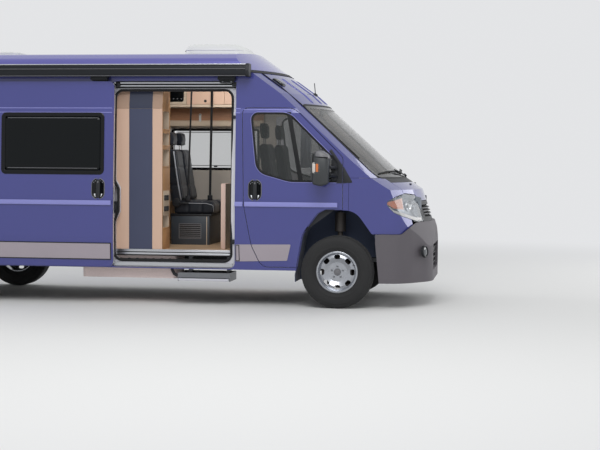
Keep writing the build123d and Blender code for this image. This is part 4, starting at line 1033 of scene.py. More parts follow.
@dataclass
class Mirrors:
    """Tall mirror heads with two glasses, an indicator and a double arm."""

    glass_x: float = 1.8185
    lamp_y: float = 1.2515

    def build(self) -> None:
        """Build both mirrors, which replace the plain ones."""
        for name, side in SIDES.items():
            body = "front_door_" + name
            head = self.head(side).piece("mirror_head_" + name, CHARCOAL_ABS, "black_plastic", body,
                                         crease=50)
            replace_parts(head, "door_mirror_" + name)
            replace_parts(self.arms(side).piece("mirror_arms_" + name, BLACK_ABS, "black_plastic", body),
                        "door_mirror_" + name)
            self.glasses(side).piece("mirror_glasses_" + name, CHROME, "glass", body)
            lip = Shape()
            left, right = sorted((side * 1.136, side * 1.224))
            lip.trim(rectangle(left, 1.302, right, 1.583, 0.020, 4),
                     [(0.0, -0.004), (0.0, 0.011), (-0.003, 0.013), (-0.006, 0.011), (-0.006, -0.004)],
                     Upright(self.glass_x, -1))
            lip.piece("mirror_lip_" + name, CHARCOAL_ABS, "black_plastic", body)
            self.cap(side).piece("mirror_cap_" + name, GREY_ABS, "black_plastic", body, crease=60)
            self.indicator(side, name, body)

    def head(self, side: int) -> Shape:
        """Loft the head from its inner to its outer end."""
        rows = ((0.02, 1.112), (0.004, 1.120), (0.0, 1.140), (0.0, 1.215), (0.006, 1.238), (0.024, 1.252))
        outline = rounded([(1.820, 1.268, 0.030), (1.905, 1.250, 0.060), (1.982, 1.268, 0.040),
                           (1.990, 1.560, 0.065), (1.905, 1.612, 0.075), (1.830, 1.590, 0.055)], 5)
        shape = Shape()
        shape.solid([[(u, side * y, v) for u, v in grown(outline, -inset)] for inset, y in rows])
        return shape

    def cap(self, side: int) -> Shape:
        """Loft the smooth grey cap over the top of the head."""
        outline = rounded([(1.838, 1.530, 0.010), (1.995, 1.520, 0.010), (1.992, 1.565, 0.060),
                           (1.905, 1.614, 0.070), (1.838, 1.592, 0.045)], 4)
        shape = Shape()
        rows = ((0.012, 1.118), (-0.001, 1.126), (-0.001, 1.212), (0.004, 1.236), (0.020, 1.2525))
        shape.solid([[(u, side * y, v) for u, v in grown(outline, -inset)] for inset, y in rows])
        return shape

    def arms(self, side: int) -> Shape:
        """Build the two arms from the foot to the head."""
        shape = Shape()
        for z, rise in ((1.345, 0.020), (1.430, 0.010)):
            path = [(2.030, side * 0.992, z), (2.025, side * 1.020, z), (2.000, side * 1.065, z + rise),
                    (1.970, side * 1.118, z + rise)]
            shape.tube(path, rectangle(-0.030, -0.017, 0.030, 0.017, 0.012, 3))
        shape.plate(rounded([(1.990, 1.305, 0.02), (2.052, 1.305, 0.02), (2.052, 1.450, 0.02),
                             (2.000, 1.470, 0.02)], 3), [(0.0, 0.0045), (0.0, 0.018), (-0.008, 0.026)],
                    Flank(side))
        return shape

    def glasses(self, side: int) -> Shape:
        """Build the large upper glass and the small wide-angle glass below it."""
        shape = Shape()
        place = Upright(self.glass_x, -1)
        for low, high in ((1.395, 1.575), (1.310, 1.385)):
            left, right = sorted((side * 1.142, side * 1.212))
            shape.plate(rectangle(left, low, right, high, 0.018, 4),
                        [(0.0, -0.004), (0.0, -0.0002), (-0.002, 0.0002)], place)
        return shape

    def indicator(self, side: int, name: str, body: str) -> None:
        """Build the indicator lens with its amber and pale bands on the outer end."""
        place = Along(side * self.lamp_y, side)
        amber = Shape()
        amber.plate(rectangle(1.858, 1.392, 1.889, 1.478, 0.008, 4),
                    [(0.0, -0.010), (0.0, -0.0008), (-0.004, 0.0009)], place)
        amber.piece("mirror_indicator_" + name, AMBER_LENS, "lamp_lens", body)
        pale = Shape()
        pale.plate(rectangle(1.831, 1.392, 1.8575, 1.478, 0.006, 4),
                   [(0.0, -0.016), (0.0, -0.0008), (-0.003, 0.0009)], place)
        pale.trim(rectangle(1.832, 1.389, 1.891, 1.481, 0.008, 4),
                  [(0.001, -0.016), (0.001, -0.0004), (0.004, 0.0006), (0.007, -0.003), (0.006, -0.016)],
                  place)
        pale.piece("mirror_indicator_frame_" + name, PALE_LENS, "lamp_lens", body)


@dataclass
class Doorway:
    """Seal, jamb strips, latch and sill of the open side doorway."""

    side: int = -1

    def build(self) -> None:
        """Build the doorway's trims."""
        self.seal()
        self.latch()
        self.upper_strips()
        self.sill()
        self.guides()

    def seal(self) -> None:
        """Build the bulb seal round the doorway, which bulges round the latch on the rear post."""
        place = Flank(self.side, 0.0, -0.050)
        outline = rounded([(DOORWAY[0], DOORWAY[1], 0.080), (DOORWAY[2], DOORWAY[1], 0.080),
                           (DOORWAY[2], DOORWAY[3], 0.080), (DOORWAY[0], DOORWAY[3], 0.080),
                           (DOORWAY[0], 1.285, 0.080), (DOORWAY[0] + 0.044, 1.205, 0.080),
                           (DOORWAY[0] + 0.044, 0.965, 0.080), (DOORWAY[0], 0.860, 0.080)], 6)
        bulb = [(-0.004, -0.014), (0.012, -0.006), (0.016, 0.001), (0.013, 0.012), (0.002, 0.016),
                (-0.009, 0.009), (-0.010, -0.010)]
        shape = Shape()
        shape.trim(outline, bulb, place)
        shape.piece("doorway_seal", EPDM, "seal_rubber", crease=60)
        rail = Shape()
        rail.trim(grown(outline, 0.003), [(0.0, -0.060), (0.0, -0.014), (-0.006, -0.014), (-0.006, -0.060)],
                  place)
        rail.plate(rounded([(DOORWAY[0] - 0.012, 0.830, 0.01), (DOORWAY[0] + 0.050, 0.960, 0.05),
                            (DOORWAY[0] + 0.050, 1.215, 0.05), (DOORWAY[0] - 0.012, 1.320, 0.01)], 4),
                   [(0.0, -0.062), (0.0, -0.056)], place)
        rail.piece("doorway_edge", WHITE_JAMB, "body_paint")

    def latch(self) -> None:
        """Build the lock plate and its roller on the rear post."""
        place = Flank(self.side)
        shape = Shape()
        shape.plate(rectangle(-0.302, 0.950, -0.262, 1.070, 0.012, 4),
                    [(0.0, -0.057), (0.0, -0.040), (-0.005, -0.034)], place)
        shape.turned([(0.012, -0.028), (0.016, -0.024), (0.016, 0.020), (0.012, 0.024)],
                     place(-0.280, 1.010, -0.036), (0, 0, 1), 16)
        shape.piece("doorway_latch", BLACK_ABS, "black_plastic")

    def upper_strips(self) -> None:
        """Build the bright and dark strips of the top rail over the doorway."""
        place = Flank(self.side)
        strips = Shape()
        for low, high, proud in ((2.262, 2.276, -0.012), (2.290, 2.306, -0.004)):
            strips.plate(rectangle(-0.322, low, 0.984, high, 0.002, 2), [(0.0, -0.030), (0.0, proud - 0.003),
                                                                         (-0.002, proud)], place)
        strips.piece("top_rail_strips", ALUMINIUM, "rail_alloy")
        gaps = Shape()
        for low, high, proud in ((2.2440, 2.2605, -0.0195), (2.2765, 2.2895, -0.010),
                                 (2.3065, 2.312, -0.002)):
            gaps.plate(rectangle(-0.320, low, 0.982, high, 0.001, 1), [(0.0, -0.034), (0.0, proud)], place)
        gaps.piece("top_rail_grooves", EPDM, "seal_rubber")
        ends = Shape()
        for u in (-0.284, 0.945):
            ends.block(*spread(place(u, 2.264, -0.034), place(u + 0.050, 2.306, 0.004)), 0.006)
        ends.piece("top_rail_stops", BLACK_ABS, "black_plastic")

    def sill(self) -> None:
        """Build the step well, its alloy treads and the scuff edges."""
        low_x, high_x = DOORWAY[0] + 0.004, DOORWAY[2] - 0.004
        treads = Shape()
        treads.block((low_x, -0.914, 0.5605), (high_x, -0.872, 0.5690), 0.002)
        for step in range(4):
            y = -0.909 + 0.009 * step
            treads.block((low_x, y, 0.5688), (high_x, y + 0.004, 0.5708), 0.0008)
        treads.block((low_x, -0.914, 0.5460), (high_x, -0.9052, 0.5600), 0.0015)
        treads.block((low_x, -0.922, 0.5160), (high_x, -0.9052, 0.5370), 0.003)
        treads.piece("sill_treads", ALUMINIUM, "rail_alloy")
        edge = Shape()
        edge.block((low_x, -0.910, 0.5372), (high_x, -0.9052, 0.5458), 0.0005)
        edge.block((low_x, -0.916, 0.5065), (high_x, -0.9052, 0.5158), 0.0005)
        edge.piece("sill_grooves", EPDM, "seal_rubber")
        well = Shape()
        well.block((low_x, -0.950, 0.470), (high_x, -0.912, 0.4755), 0.002)
        for step in range(14):
            x = low_x + 0.05 + step * (high_x - low_x - 0.1) / 13
            well.block((x, -0.948, 0.4755), (x + 0.018, -0.914, 0.4795), 0.001)
        well.piece("sill_well_mat", EPDM, "seal_rubber")

    def guides(self) -> None:
        """Build the small black guide and wedge blocks on the front post."""
        place = Flank(self.side)
        shape = Shape()
        for low, high in ((0.640, 0.690), (1.930, 1.965)):
            shape.block(*spread(place(0.955, low, -0.049), place(0.982, high, -0.022)), 0.006)
        shape.piece("doorway_guides", BLACK_ABS, "black_plastic")


@dataclass
class CladdingTrim:
    """Black beads round the grey guards of the flanks, the sliding door and the pillars, as painted shadow
    along their edges.
    """

    low: float = 0.466
    high: float = 0.641

    def build(self) -> None:
        """Build the beads on both flanks, the sliding door and the pillars."""
        right, left = Flank(-1), Flank(1)
        slid = Flank(-1, SLIDE_BACK, SLIDE_OUT)
        # The black beads stand for the shadow along the guards' edges
        shape = Shape()
        for place, spans in ((right, ((-2.880, -2.412), (-1.558, -0.345))),
                             (left, ((-2.880, -2.412), (-1.558, 0.985))), (slid, ((-0.306, 0.966),))):
            for start, end in spans:
                shape.trim(rectangle(start, self.low, end, self.high, 0.008, 3),
                           [(0.001, 0.0005), (0.001, 0.0075), (-0.007, 0.0085), (-0.009, 0.0065)], place)
        shape.piece("guard_shadow_beads", BLACK_ABS, "grey_cladding")
        for name, side in SIDES.items():
            place = Flank(side)
            fixed = Shape()
            outline = [(1.003, 0.470), (1.045, 0.470), (1.040, 0.637), (1.003, 0.637)]
            fixed.trim(rounded([(u, v, 0.003) for u, v in outline], 2),
                       [(0.001, 0.0005), (0.001, 0.0075), (-0.005, 0.0085), (-0.007, 0.0065)], place)
            fixed.piece("pillar_guard_shadow_bead_" + name, BLACK_ABS, "grey_cladding")


@dataclass
class Awning:
    """Front bar, end caps, painted highlight lines and wall brackets of the closed awning."""

    front: float = 1.143
    length: float = 3.750

    def build(self) -> None:
        """Build the awning's trims over its case."""
        self.bars()
        self.caps()
        self.brackets()

    def bars(self) -> None:
        """Build the painted highlight along the case's top edge, two grey lines of painted highlight, and the
        front bar.
        """
        rear = self.front - self.length
        edge = Shape()
        edge.tube([(rear + 0.03, -1.0985, 2.4805), (self.front - 0.03, -1.0985, 2.4805)], circle(0.0060, 10))
        edge.piece("awning_painted_highlight_edge", ALUMINIUM, "awning_alloy")
        seam = Shape()
        for y, z in ((-1.1172, 2.434), (-1.1125, 2.3635)):
            seam.tube([(rear + 0.03, y, z), (self.front - 0.03, y, z)], flat_section(0.005, 0.005))
        seam.piece("awning_painted_highlight_lines", GREY_ABS, "awning_alloy")
        bar = Shape()
        profile = rounded([(-0.005, -0.026, 0.004), (0.005, -0.022, 0.004), (0.005, 0.022, 0.004),
                           (-0.005, 0.026, 0.004)], 3)
        bar.tube([(rear + 0.02, -1.1115, 2.392), (self.front - 0.02, -1.1115, 2.392)], profile)
        bar.piece("awning_front_bar", POWDER_COAT, "awning_alloy")

    def caps(self) -> None:
        """Build the moulded caps at both ends."""
        rows = [(-1.124, 2.415, 0.030), (-1.110, 2.352, 0.030), (-0.966, 2.358, 0.010),
                (-0.966, 2.490, 0.014), (-1.108, 2.491, 0.040)]
        outline = rounded(rows, 5)
        rear = self.front - self.length
        shape = Shape()
        for x, facing in ((self.front, 1), (rear, -1)):
            place = Upright(x, facing)
            shape.plate(outline, [(-0.004, -0.030), (0.0, -0.026), (0.0, 0.0), (-0.006, 0.0055)], place)
        shape.piece("awning_end_caps", BLACK_ABS, "awning_alloy")

    def brackets(self) -> None:
        """Build the plates and bolts of the wall brackets."""
        plates = Shape()
        bolts = Shape()
        for x in (-2.300, -0.530, 0.812):
            plates.block((x + 0.004, -1.010, 2.318), (x + 0.174, -0.958, 2.334), 0.004)
            plates.block((x + 0.012, -0.992, 2.296), (x + 0.166, -0.966, 2.320), 0.006)
            for share in (0.25, 0.75):
                bolts.turned([(0.008, 0.0), (0.008, 0.004), (0.005, 0.006)],
                             (x + share * 0.178, -0.993, 2.308), (0, -1, 0), 6)
        plates.piece("awning_brackets", BLACK_ABS, "awning_alloy")
        bolts.piece("awning_bolts", BARE_STEEL, "awning_alloy")


@dataclass
class Roof:
    """Air unit, roof vent, marker lamps, antenna, ribs and gutter beads."""

    unit_rear: float = 0.290
    unit_front: float = 1.006
    unit_half: float = 0.346

    def build(self) -> None:
        """Build the pieces of the roof."""
        self.unit()
        self.markers()
        self.antenna()
        self.ribs()

    def unit(self) -> None:
        """Build the rounded air unit, which replaces the plain one, and the lid of the rear vent."""
        length = self.unit_front - self.unit_rear
        middle = (self.unit_front + self.unit_rear) / 2
        rows = ((0.000, 2.640), (0.000, 2.668), (-0.004, 2.672), (-0.004, 2.678), (0.000, 2.682),
                (-0.008, 2.712), (-0.030, 2.736), (-0.075, 2.748), (-0.140, 2.7515))
        outline = rounded([(-length / 2, -self.unit_half, 0.11), (length / 2, -self.unit_half * 0.9, 0.16),
                           (length / 2, self.unit_half * 0.9, 0.16), (-length / 2, self.unit_half, 0.11)], 8)
        shape = Shape()
        rings = []
        for inset, z in rows:
            rise = z - 2.640
            lean = 0.9 * rise
            ring = [(middle + u - (lean if u > 0 else -0.10 * rise) * abs(u) / (length / 2), v, z)
                    for u, v in grown(outline, inset)]
            rings.append(ring)
        shape.solid(rings)
        made = shape.piece("air_unit_cover", WHITE_ABS, "white_plastic", crease=55)
        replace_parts(made, "roof_unit")
        slots = Shape()
        for step in range(7):
            y = -0.210 + step * 0.070
            slots.block((self.unit_rear - 0.003, y - 0.024, 2.672),
                        (self.unit_rear + 0.012, y + 0.024, 2.684), 0.002)
        slots.piece("air_unit_slots", BLACK_ABS, "white_plastic")
        foot = Shape()
        foot.solid([[(middle + u, v, z) for u, v in grown(outline, reach)] for reach, z in
                    ((0.004, 2.624), (0.004, 2.640), (-0.006, 2.644))])
        foot.piece("air_unit_gasket", EPDM, "white_plastic")
        vent = Shape()
        rows = ((0.0, 2.628, 0.05), (0.0, 2.668, 0.05), (0.012, 2.676, 0.045), (0.08, 2.684, 0.05),
                (0.16, 2.688, 0.04))
        vent.solid([[(u, v, z) for u, v in rectangle(-2.10 + inset, -0.25 + inset, -1.60 - inset,
                                                     0.25 - inset, radius, 6)] for inset, z,
                    radius in rows])
        vent.piece("roof_vent_lid", WHITE_ABS, "white_plastic", crease=55)

    def markers(self) -> None:
        """Build the marker lamps over the front doors."""
        for name, side in SIDES.items():
            low, high = sorted((side * 0.700, side * 0.775))
            base = Shape()
            base.plate(rectangle(low, 2.272, high, 2.348, 0.016, 4),
                       [(0.0, -0.008), (0.0, 0.010), (-0.006, 0.016)], FOREHEAD)
            base.piece("marker_base_" + name, GLOSS_ABS, "black_plastic")
            lens = Shape()
            lens.plate(rectangle(low + 0.010, 2.282, high - 0.010, 2.338, 0.012, 4),
                       [(0.0, 0.013), (-0.002, 0.019), (-0.010, 0.022)], FOREHEAD)
            lens.piece("marker_lens_" + name, SMOKED_LENS, "lamp_lens")

    def antenna(self) -> None:
        """Build the short rod antenna over the windscreen."""
        shape = Shape()
        foot = Vector((1.680, 0.0, 2.2152))
        shape.turned([(0.030, -0.006), (0.030, 0.004), (0.022, 0.012), (0.012, 0.018)], foot, (0.62, 0, 1),
                     24)
        lean = Vector((-0.10, 0.0, 1.0)).normalized()
        shape.tube([foot + lean * 0.010, foot + lean * 0.07, foot + lean * 0.13], circle(0.0045, 8),
                   up=(0, 1, 0))
        shape.piece("roof_antenna", BLACK_ABS, "black_plastic")

    def ribs(self) -> None:
        """Build the pressed ribs that run over the forehead, and the rubber beads beside them."""
        ribs = Shape()
        beads = Shape()
        angle = math.radians(FOREHEAD.angle)
        lift = Vector((math.sin(angle), 0, math.cos(angle)))
        for y in (-0.52, -0.26, 0.0, 0.26, 0.52):
            path = []
            for v in (2.108, 2.125, 2.160, 2.192, 2.230, 2.300, 2.350, 2.365):
                spot = min((SCREEN(y, v, 0.0), FOREHEAD(y, v, 0.0)), key=lambda place: place.x)
                path.append(spot - lift * (0.006 if v in (2.108, 2.365) else 0.0005))
            ribs.tube(path, rounded([(-0.024, -0.008, 0.004), (0.024, -0.008, 0.004), (0.013, 0.007, 0.005),
                                     (-0.013, 0.007, 0.005)], 3), up=lift)
        ribs.piece("forehead_ribs", LIGHTENED_TRIM_PAINT, "body_paint", crease=50)
        for side in (-1, 1):
            path = []
            for share in (0.0, 0.2, 0.4, 0.6, 0.8, 1.0):
                x = 2.255 - share * 1.02
                y = 0.832 - 0.018 * share
                screen = SCREEN.z + (SCREEN.x - dip(y) - x) * math.tan(math.radians(SCREEN.angle))
                head = FOREHEAD.z + (FOREHEAD.x - dip(y) - x) * math.tan(angle)
                path.append((x, side * y, min(screen, head, 2.436) + 0.004))
            beads.tube(path, flat_section(0.022, 0.010))
        beads.piece("gutter_beads", EPDM, "seal_rubber")


@dataclass
class EntranceStep:
    """Ribs, nose, grip strip, motor and stay of the slide-out step."""

    rear: float = 0.400
    front: float = 0.930

    def build(self) -> None:
        """Build the pieces on the tread and on its frame."""
        ribs = Shape()
        for step in range(9):
            y = -0.995 + step * 0.034
            ribs.block((self.rear + 0.012, y, 0.2805), (self.front - 0.012, y + 0.012, 0.2835), 0.0012)
        ribs.piece("step_tread_ribs", SLATE_RUBBER, "rail_alloy", "entrance_step")
        nose = Shape()
        nose.tube([(self.rear + 0.002, -1.005, 0.2695), (self.front - 0.002, -1.005, 0.2695)],
                  rectangle(-0.005, -0.011, 0.005, 0.011, 0.004, 3))
        nose.piece("step_nose", WHITE_JAMB, "rail_alloy", "entrance_step")
        grip = Shape()
        grip.block((self.rear + 0.03, -1.000, 0.2838), (self.front - 0.03, -0.985, 0.2862), 0.001)
        grip.piece("step_grip_strip", EPDM, "seal_rubber", "entrance_step")
        motor = Shape()
        motor.turned([(0.026, 0.0), (0.030, 0.004), (0.030, 0.120), (0.026, 0.124)], (0.500, -0.600, 0.300),
                     (0, 1, 0), 24)
        motor.block((0.455, -0.640, 0.272), (0.545, -0.600, 0.332), 0.006)
        motor.piece("step_motor", BLACK_ABS, "chassis_steel")
        stay = Shape()
        stay.tube([(0.370, -0.900, 0.300), (0.330, -0.900, 0.320), (0.300, -0.880, 0.372)],
                  flat_section(0.034, 0.008), up=(0, 1, 0))
        stay.piece("step_side_stay", COATED_STEEL, "chassis_steel")


@dataclass
class Upholstery:
    """Sewn covers over foam: each is inflated by a cloth simulation, then its seams are drawn in."""

    voxel: float = 0.012
    shrink: float = 0.007
    cap: float = 0.012
    pressure: float = 4.0
    frames: int = 16

    def cushion(self, name: str, rows: Sequence[tuple[float, float, float]], low: float, high: float,
                seams: Sequence[tuple[Point, Point]] = (), finish: Finish = LEATHER,
                slot: str = "seat_leather") -> bpy.types.Object:
        """Make one cushion whose side outline runs across the vehicle.

        Args:
            name: Name of the piece.
            rows: Station, height and corner radius of the side outline.
            low: Lowest Y.
            high: Highest Y.
            seams: Places and normals of the planes along which the cover is sewn down.
            finish: Its cover.
            slot: Material slot of the record.

        Returns:
            The finished cushion.
        """
        outline = grown(rounded(rows, 5), -self.shrink)
        shape = Shape()
        start, end = low + self.shrink, high - self.shrink
        ends = ((-0.022, 0.0), (-0.008, 0.004), (0.0, 0.020))
        profile = [(inset, start + along) for inset, along in ends] + [(inset, end - along) for inset,
                                                                       along in ends[::-1]]
        shape.plate(outline, profile, Along(0.0, 1))
        made = shape.piece(name, finish, slot, crease=180)
        self._remesh(made)
        self._inflate(made)
        self._sew(made, seams)
        made.data.shade_smooth()
        return made

    def _remesh(self, made: bpy.types.Object) -> None:
        """Turn the cover into even small faces, which bend like cloth."""
        even = made.modifiers.new("even faces", "REMESH")
        even.mode = "VOXEL"
        even.voxel_size = self.voxel
        self._apply(made)

    def _inflate(self, made: bpy.types.Object) -> None:
        """Blow the cover up by a short cloth simulation, and cap how far it swells."""
        rest = [vert.co.copy() for vert in made.data.vertices]
        cloth = made.modifiers.new("inflate", "CLOTH")
        cloth.settings.quality = 4
        cloth.settings.tension_stiffness = 12.0
        cloth.settings.compression_stiffness = 12.0
        cloth.settings.use_pressure = True
        cloth.settings.uniform_pressure_force = self.pressure
        cloth.settings.effector_weights.gravity = 0.0
        cloth.point_cache.frame_start = 1
        cloth.point_cache.frame_end = self.frames
        scene = bpy.context.scene
        for step in range(1, self.frames + 1):
            scene.frame_set(step)
        self._apply(made)
        scene.frame_set(1)
        for vert, start in zip(made.data.vertices, rest):
            moved = vert.co - start
            if moved.length > self.cap:
                vert.co = start + moved.normalized() * self.cap

    @staticmethod
    def _apply(made: bpy.types.Object) -> None:
        """Fix the result of the modifiers as the mesh, and take them off."""
        graph = bpy.context.evaluated_depsgraph_get()
        fixed = bpy.data.meshes.new_from_object(made.evaluated_get(graph), depsgraph=graph)
        fixed.name = made.data.name
        made.modifiers.clear()
        made.data = fixed

    @staticmethod
    def _sew(made: bpy.types.Object, seams: Sequence[tuple[Point, Point]], depth: float = 0.007,
             width: float = 0.014) -> None:
        """Draw the cover in along its seams."""
        normals = [vert.normal.copy() for vert in made.data.vertices]
        for vert, normal in zip(made.data.vertices, normals):
            pull = 0.0
            for place, way in seams:
                off = (vert.co - Vector(place)).dot(Vector(way).normalized()) / width
                pull = max(pull, math.exp(-off * off))
            vert.co -= normal * depth * pull

    def piping(self, name: str, path: Sequence[Point], radius: float = 0.0035) -> None:
        """Sew a round piping along a line."""
        shape = Shape()
        shape.tube(path, circle(radius, 8), up=(0, 1, 0.01))
        shape.piece(name, PIPING, "seat_leather", crease=180)


@dataclass
class Bench:
    """Two-place bench: slate base with a vent, sewn cushions, headrests and belts."""

    near: float = 0.062
    far: float = 0.878
    middle: float = 0.470

    def build(self) -> None:
        """Build the whole bench in place of the plain one."""
        for piece in (self.base(), *self.cushions()):
            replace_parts(piece, "bench_seat")
        self.vent()
        self.fittings()
        self.belts()

    def base(self) -> bpy.types.Object:
        """Build the box with its dark top ledge and pale corner edge."""
        box = Shape()
        box.block((0.062, self.near, 0.5602), (0.498, self.far, 0.882), 0.008)
        made = box.piece("bench_base", SLATE_LAMINATE, "cabinet_wood")
        ledge = Shape()
        ledge.block((0.060, self.near - 0.001, 0.882), (0.520, self.far, 0.9048), 0.005)
        ledge.piece("bench_ledge", BLACK_ABS, "seat_leather")
        edge = Shape()
        edge.block((0.462, self.near - 0.0025, 0.565), (0.470, self.near + 0.002, 0.878), 0.001)
        edge.piece("bench_corner_edge", CREAM_LAMINATE, "cabinet_wood")
        return made

    def cushions(self) -> list[bpy.types.Object]:
        """Build seat, back and headrest of both places."""
        work = Upholstery()
        made = []
        across = (0, 1, 0)
        for index, (low, high) in enumerate(((self.near, self.middle - 0.002),
                                             (self.middle + 0.002, self.far))):
            name = "bench_" + str(index + 1)
            seat = [(0.078, 0.9055, 0.02), (0.557, 0.9055, 0.03), (0.557, 1.043, 0.05), (0.078, 1.043, 0.02)]
            back = [(0.062, 1.000, 0.02), (0.188, 1.045, 0.03), (0.089, 1.638, 0.04), (-0.018, 1.638, 0.03)]
            made.append(work.cushion(name + "_seat", seat, low, high,
                                     [((0, low + 0.075, 0), across), ((0, high - 0.075, 0), across),
                                      ((0.40, 0, 0), (1, 0, 0)), ((0.25, 0, 0), (1, 0, 0))]))
            made.append(work.cushion(name + "_back", back, low, high,
                                     [((0, low + 0.075, 0), across), ((0, high - 0.075, 0), across),
                                      ((0, 0, 1.22), (0, 0, 1)), ((0, 0, 1.42), (0, 0, 1))]))
            side = low + (0.068 if index == 0 else 0.070)
            head = [(-0.029, 1.662, 0.03), (0.074, 1.662, 0.03), (0.060, 1.818, 0.04), (-0.034, 1.818, 0.04)]
            made.append(work.cushion(name + "_head", head, side, side + 0.250, [((0, 0, 1.70), (0, 0, 1))]))
        y = self.near + 0.0015
        work.piping("bench_back_piping", [(0.088, y, 1.600), (0.112, y, 1.42), (0.146, y, 1.20),
                                          (0.176, y, 1.052)], 0.008)
        work.piping("bench_rear_piping", [(-0.010, y, 1.600), (0.010, y, 1.42), (0.036, y, 1.20),
                                          (0.056, y, 1.040)], 0.005)
        work.piping("bench_seat_piping", [(0.090, y, 1.020), (0.25, y, 1.024), (0.46, y, 1.024),
                                          (0.535, y, 1.004), (0.545, y, 0.930)])
        return made

    def vent(self) -> None:
        """Build the slotted vent of the heater in the near face of the base."""
        frame = Shape()
        outline = rectangle(0.150, 0.632, 0.405, 0.800, 0.008, 3)
        frame.trim(outline, [(0.0, -0.001), (0.0, 0.003), (-0.008, 0.003), (-0.008, -0.001)],
                   Along(self.near, -1))
        for step in range(7):
            z = 0.645 + step * 0.0215
            frame.block((0.158, self.near - 0.004, z), (0.396, self.near + 0.002, z + 0.008), 0.0015)
        frame.piece("bench_vent_slats", GREY_ABS, "cabinet_wood")
        # A black plate behind the slats is painted shade inside the vent
        dark = Shape()
        dark.plate(rectangle(0.156, 0.638, 0.399, 0.794, 0.004, 2), [(0.0, -0.003), (0.0, 0.0008)],
                   Along(self.near, -1))
        dark.piece("bench_vent_painted_shade", EPDM, "cabinet_wood")

    def fittings(self) -> None:
        """Build the back's hinge covers, its lever and the headrest posts."""
        covers = Shape()
        covers.turned([(0.050, 0.0), (0.050, 0.010), (0.044, 0.016), (0.018, 0.019)],
                      (0.125, self.near - 0.002, 1.030), (0, -1, 0), 28)
        covers.block((0.150, self.near - 0.028, 1.012), (0.265, self.near - 0.012, 1.036), 0.007, 3)
        covers.piece("bench_hinge_cover", BLACK_ABS, "seat_leather")
        posts = Shape()
        for y in (0.195, 0.310, 0.605, 0.720):
            posts.tube([(0.028, y, 1.612), (0.024, y, 1.690)], circle(0.006, 10), up=(0, 1, 0))
        posts.piece("bench_headrest_posts", CHROME, "rail_alloy")

    def belts(self) -> None:
        """Build the two taut belts with their ceiling anchors and buckles."""
        straps = Shape()
        buckles = Shape()
        for top, low in (((0.290, 0.100, 2.545), (0.243, 0.100, 1.065)),
                         ((0.430, 0.500, 2.545), (0.408, 0.500, 1.065))):
            start, end = Vector(top), Vector(low)
            run = [start + (end - start) * share for share in (0.0, 0.33, 0.66, 1.0)]
            straps.tube(run, flat_section(0.020 if top[0] < 0.3 else 0.028, 0.0016), up=(0.0, 1.0, 0.0))
            buckles.block(Vector(low) - Vector((0.028, 0.012, 0.028)), Vector(low)
                          + Vector((0.028, 0.012, 0.040)), 0.006)
            anchor = Vector(top)
            buckles.block(anchor - Vector((0.030, 0.016, 0.012)), anchor + Vector((0.030, 0.016, 0.006)),
                          0.004)
        straps.piece("bench_belts", WEBBING, "seal_rubber", crease=60)
        buckles.piece("bench_belt_buckles", BLACK_ABS, "black_plastic")


@dataclass
class CabSeats:
    """Two swivel seats with sewn covers, posts and swivel plates."""

    spread_y: float = 0.480

    def build(self) -> None:
        """Build both seats in place of the plain ones."""
        for name, side in SIDES.items():
            for piece in self.seat(name, side * self.spread_y):
                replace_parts(piece, "cab_seats")

    def seat(self, name: str, y: float) -> list[bpy.types.Object]:
        """Build one seat round its middle plane."""
        work = Upholstery(voxel=0.014)
        across = (0, 1, 0)
        seat = [(1.233, 0.884, 0.03), (1.757, 0.884, 0.04), (1.757, 1.017, 0.06), (1.233, 1.017, 0.03)]
        back = [(1.262, 0.992, 0.04), (1.377, 0.992, 0.04), (1.268, 1.698, 0.05), (1.168, 1.698, 0.05)]
        head = [(1.172, 1.727, 0.03), (1.253, 1.727, 0.03), (1.238, 1.898, 0.04), (1.162, 1.898, 0.04)]
        sides = [((0, y - 0.155, 0), across), ((0, y + 0.155, 0), across)]
        made = [work.cushion("cab_seat_" + name, seat, y - 0.243, y + 0.243, sides
                             + [((1.60, 0, 0), (1, 0, 0))]),
                work.cushion("cab_back_" + name, back, y - 0.238, y + 0.238, sides
                             + [((0, 0, 1.26), (0, 0, 1)), ((0, 0, 1.50), (0, 0, 1))]),
                work.cushion("cab_head_" + name, head, y - 0.119, y + 0.119)]
        base = Shape()
        base.block((1.302, y - 0.198, 0.5602), (1.618, y + 0.198, 0.846), 0.010)
        base.block((1.262, y - 0.215, 0.848), (1.700, y + 0.215, 0.8795), 0.008)
        made.append(base.piece("cab_seat_base_" + name, BLACK_ABS, "seat_leather"))
        posts = Shape()
        for off in (-0.052, 0.052):
            posts.tube([(1.208, y + off, 1.680), (1.206, y + off, 1.745)], circle(0.006, 10), up=(0, 1, 0))
        posts.turned([(0.024, 0.0), (0.026, 0.003), (0.026, 0.030), (0.022, 0.034)],
                     (1.310, y - 0.240, 1.060), (0, -1, 0), 20)
        posts.piece("cab_seat_posts_" + name, BARE_STEEL, "chassis_steel")
        return made


# Edge of the lockers' doors and frames: distance outwards and height over the carcass
LOCKER_EDGE = ((0.0, -0.001), (0.0, 0.012), (-0.003, 0.015))


